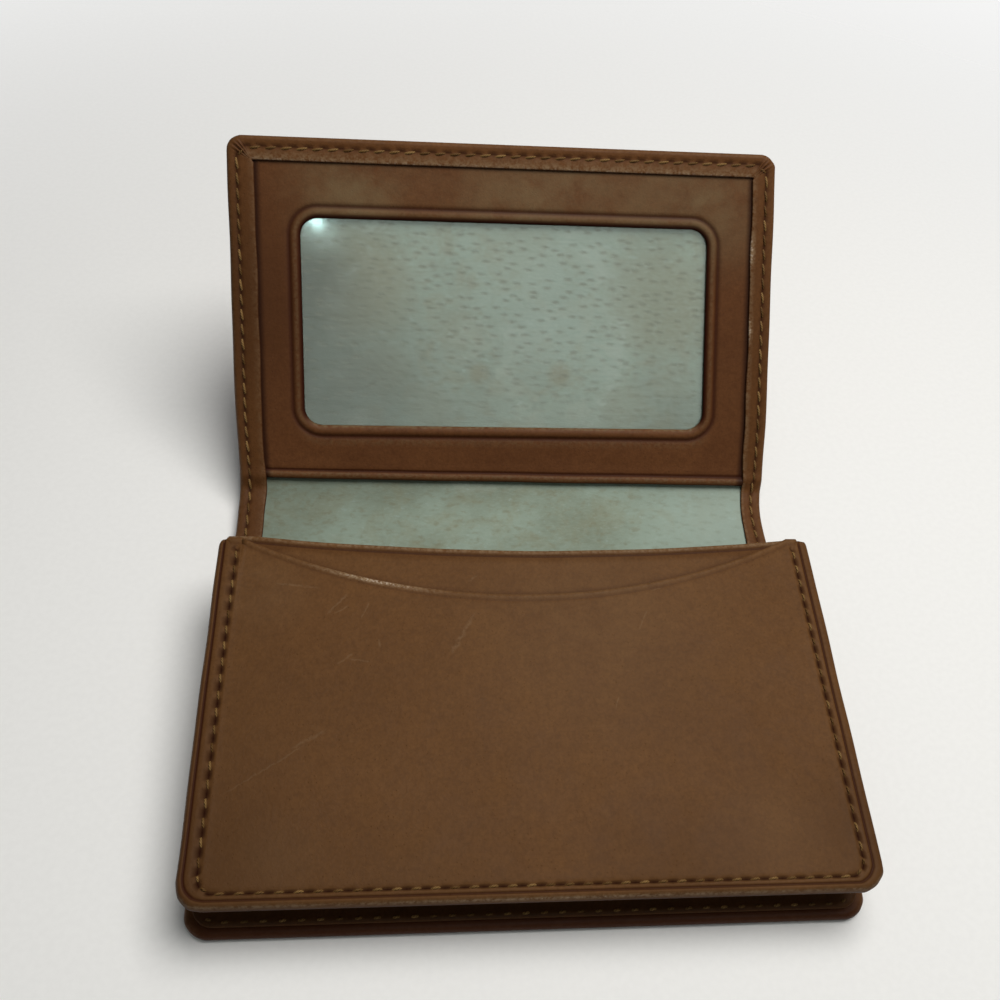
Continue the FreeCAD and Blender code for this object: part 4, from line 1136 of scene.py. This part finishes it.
back_line = lower_rim.ring(STITCH_INSET)
flap_line = upper_rim.moved(upper_rim.ring(STITCH_INSET), seam_stray(upper_rim))
pocket_line = pocket_rim.ring(POCKET_STITCH_INSET)
pocket_stray = seam_lean(pocket_rim, pocket_line[:, 1]) * lean_share(POCKET_STITCH_INSET)
pocket_line = pocket_rim.moved(pocket_line, pocket_stray)

back_inside = seam("seam_back_inside", lower_rim, back_line, on_gusset, fold, 1)
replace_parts(blend_at_spine(back_inside), "back_needle_thread", "spine_needle_thread")
back_outside = seam("seam_back_outside", lower_rim, back_line, ON_FACE, fold, -1)
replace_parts(blend_at_spine(back_outside), "back_bobbin_thread", "spine_bobbin_thread")
flap_inside = seam("seam_flap_inside", upper_rim, flap_line, hem_top, fold, 1, True, girth=0.23, share=0.8)
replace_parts(blend_at_flap(flap_inside), "flap_needle_thread", "spine_needle_thread")
flap_outside = seam("seam_flap_outside", upper_rim, flap_line, ON_FACE, fold, -1, True)
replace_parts(blend_at_flap(flap_outside), "flap_bobbin_thread", "spine_bobbin_thread")
pocket_seam = seam("seam_pocket_front", pocket_rim, pocket_line, POCKET_STACK, pocket_place, 1,
                   girth=0.19, share=0.52)
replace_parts(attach(pocket_seam, "pocket"), "pocket_needle_thread")
under_seam = seam("seam_pocket_under", pocket_rim, pocket_line, UNDER_POCKET, pocket_place, -1)
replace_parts(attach(under_seam, "pocket"), "pocket_bobbin_thread")


# Stage, in metres
def floor(reach=2, drop=0.0002):
    mesh = bpy.data.meshes.new("floor")
    corners = [(-reach, -reach, 0), (reach, -reach, 0), (reach, reach, 0), (-reach, reach, 0)]
    mesh.from_pydata(corners, [], [(0, 1, 2, 3)])
    mesh.materials.append(paper_floor("floor_paper"))
    piece = bpy.data.objects.new("floor", mesh)
    link(piece)
    piece.location.z = -drop


def area_light(name, place, aim, size, power, colour):
    lamp = bpy.data.lights.new(name, "AREA")
    lamp.shape = "RECTANGLE"
    lamp.size, lamp.size_y = size
    lamp.energy, lamp.color = power, colour
    light = bpy.data.objects.new(name, lamp)
    light.location = place
    light.rotation_euler = (Vector(aim) - Vector(place)).to_track_quat("-Z", "Y").to_euler()
    link(light)


def world_light(strength):
    """Soft light from all round, with a plain pale backdrop where the camera sees past the floor."""
    world = bpy.data.worlds.new("studio")
    bpy.context.scene.world = world
    world.use_nodes = True
    nodes, links = world.node_tree.nodes, world.node_tree.links
    light = nodes["Background"]
    light.inputs["Color"].default_value = (0.94, 0.97, 1, 1)
    light.inputs["Strength"].default_value = strength
    backdrop = nodes.new("ShaderNodeBackground")
    backdrop.inputs["Color"].default_value = (0.93, 0.93, 0.925, 1)
    path, both = nodes.new("ShaderNodeLightPath"), nodes.new("ShaderNodeMixShader")
    links.new(path.outputs["Is Camera Ray"], both.inputs[0])
    links.new(light.outputs[0], both.inputs[1])
    links.new(backdrop.outputs[0], both.inputs[2])
    links.new(both.outputs[0], nodes["World Output"].inputs["Surface"])


def camera():
    """Camera at the photograph's angle: azimuth, elevation and roll about a point in front of the flap."""
    azimuth, elevation, roll = (math.radians(a) for a in (-8.56, 49.89, 6.93))
    focal, distance = 1.0699, 0.14507
    target = Vector((-0.00716, 0.0071, 0.05358))
    data = bpy.data.cameras.new("camera")
    data.sensor_width = 36
    data.lens = focal * data.sensor_width
    data.clip_start = 0.005
    eye = bpy.data.objects.new("camera", data)
    turns = (Matrix.Rotation(azimuth, 4, "Z") @ Matrix.Rotation(math.pi / 2 - elevation, 4, "X")
             @ Matrix.Rotation(roll, 4, "Z"))
    eye.matrix_world = Matrix.Translation(target) @ turns @ Matrix.Translation((0, 0, distance))
    link(eye)
    bpy.context.scene.camera = eye


floor()
area_light("overhead", (0.12, 0.08, 0.47), (0.01, 0.03, 0.01), (0.34, 0.32), 2.2, (1, 0.98, 0.94))
area_light("sky", (0.09, -0.43, 0.51), (0, 0.07, 0.03), (0.44, 0.28), 0.274, (0.93, 1, 0.91))
area_light("glint", (-0.0834, -0.3256, 0.5027), (-0.037, 0.085, 0.041), (0.012, 0.005), 0.003, (0.7, 1, 1))
world_light(0.1)
camera()
bpy.context.scene.view_settings.view_transform = "Standard"
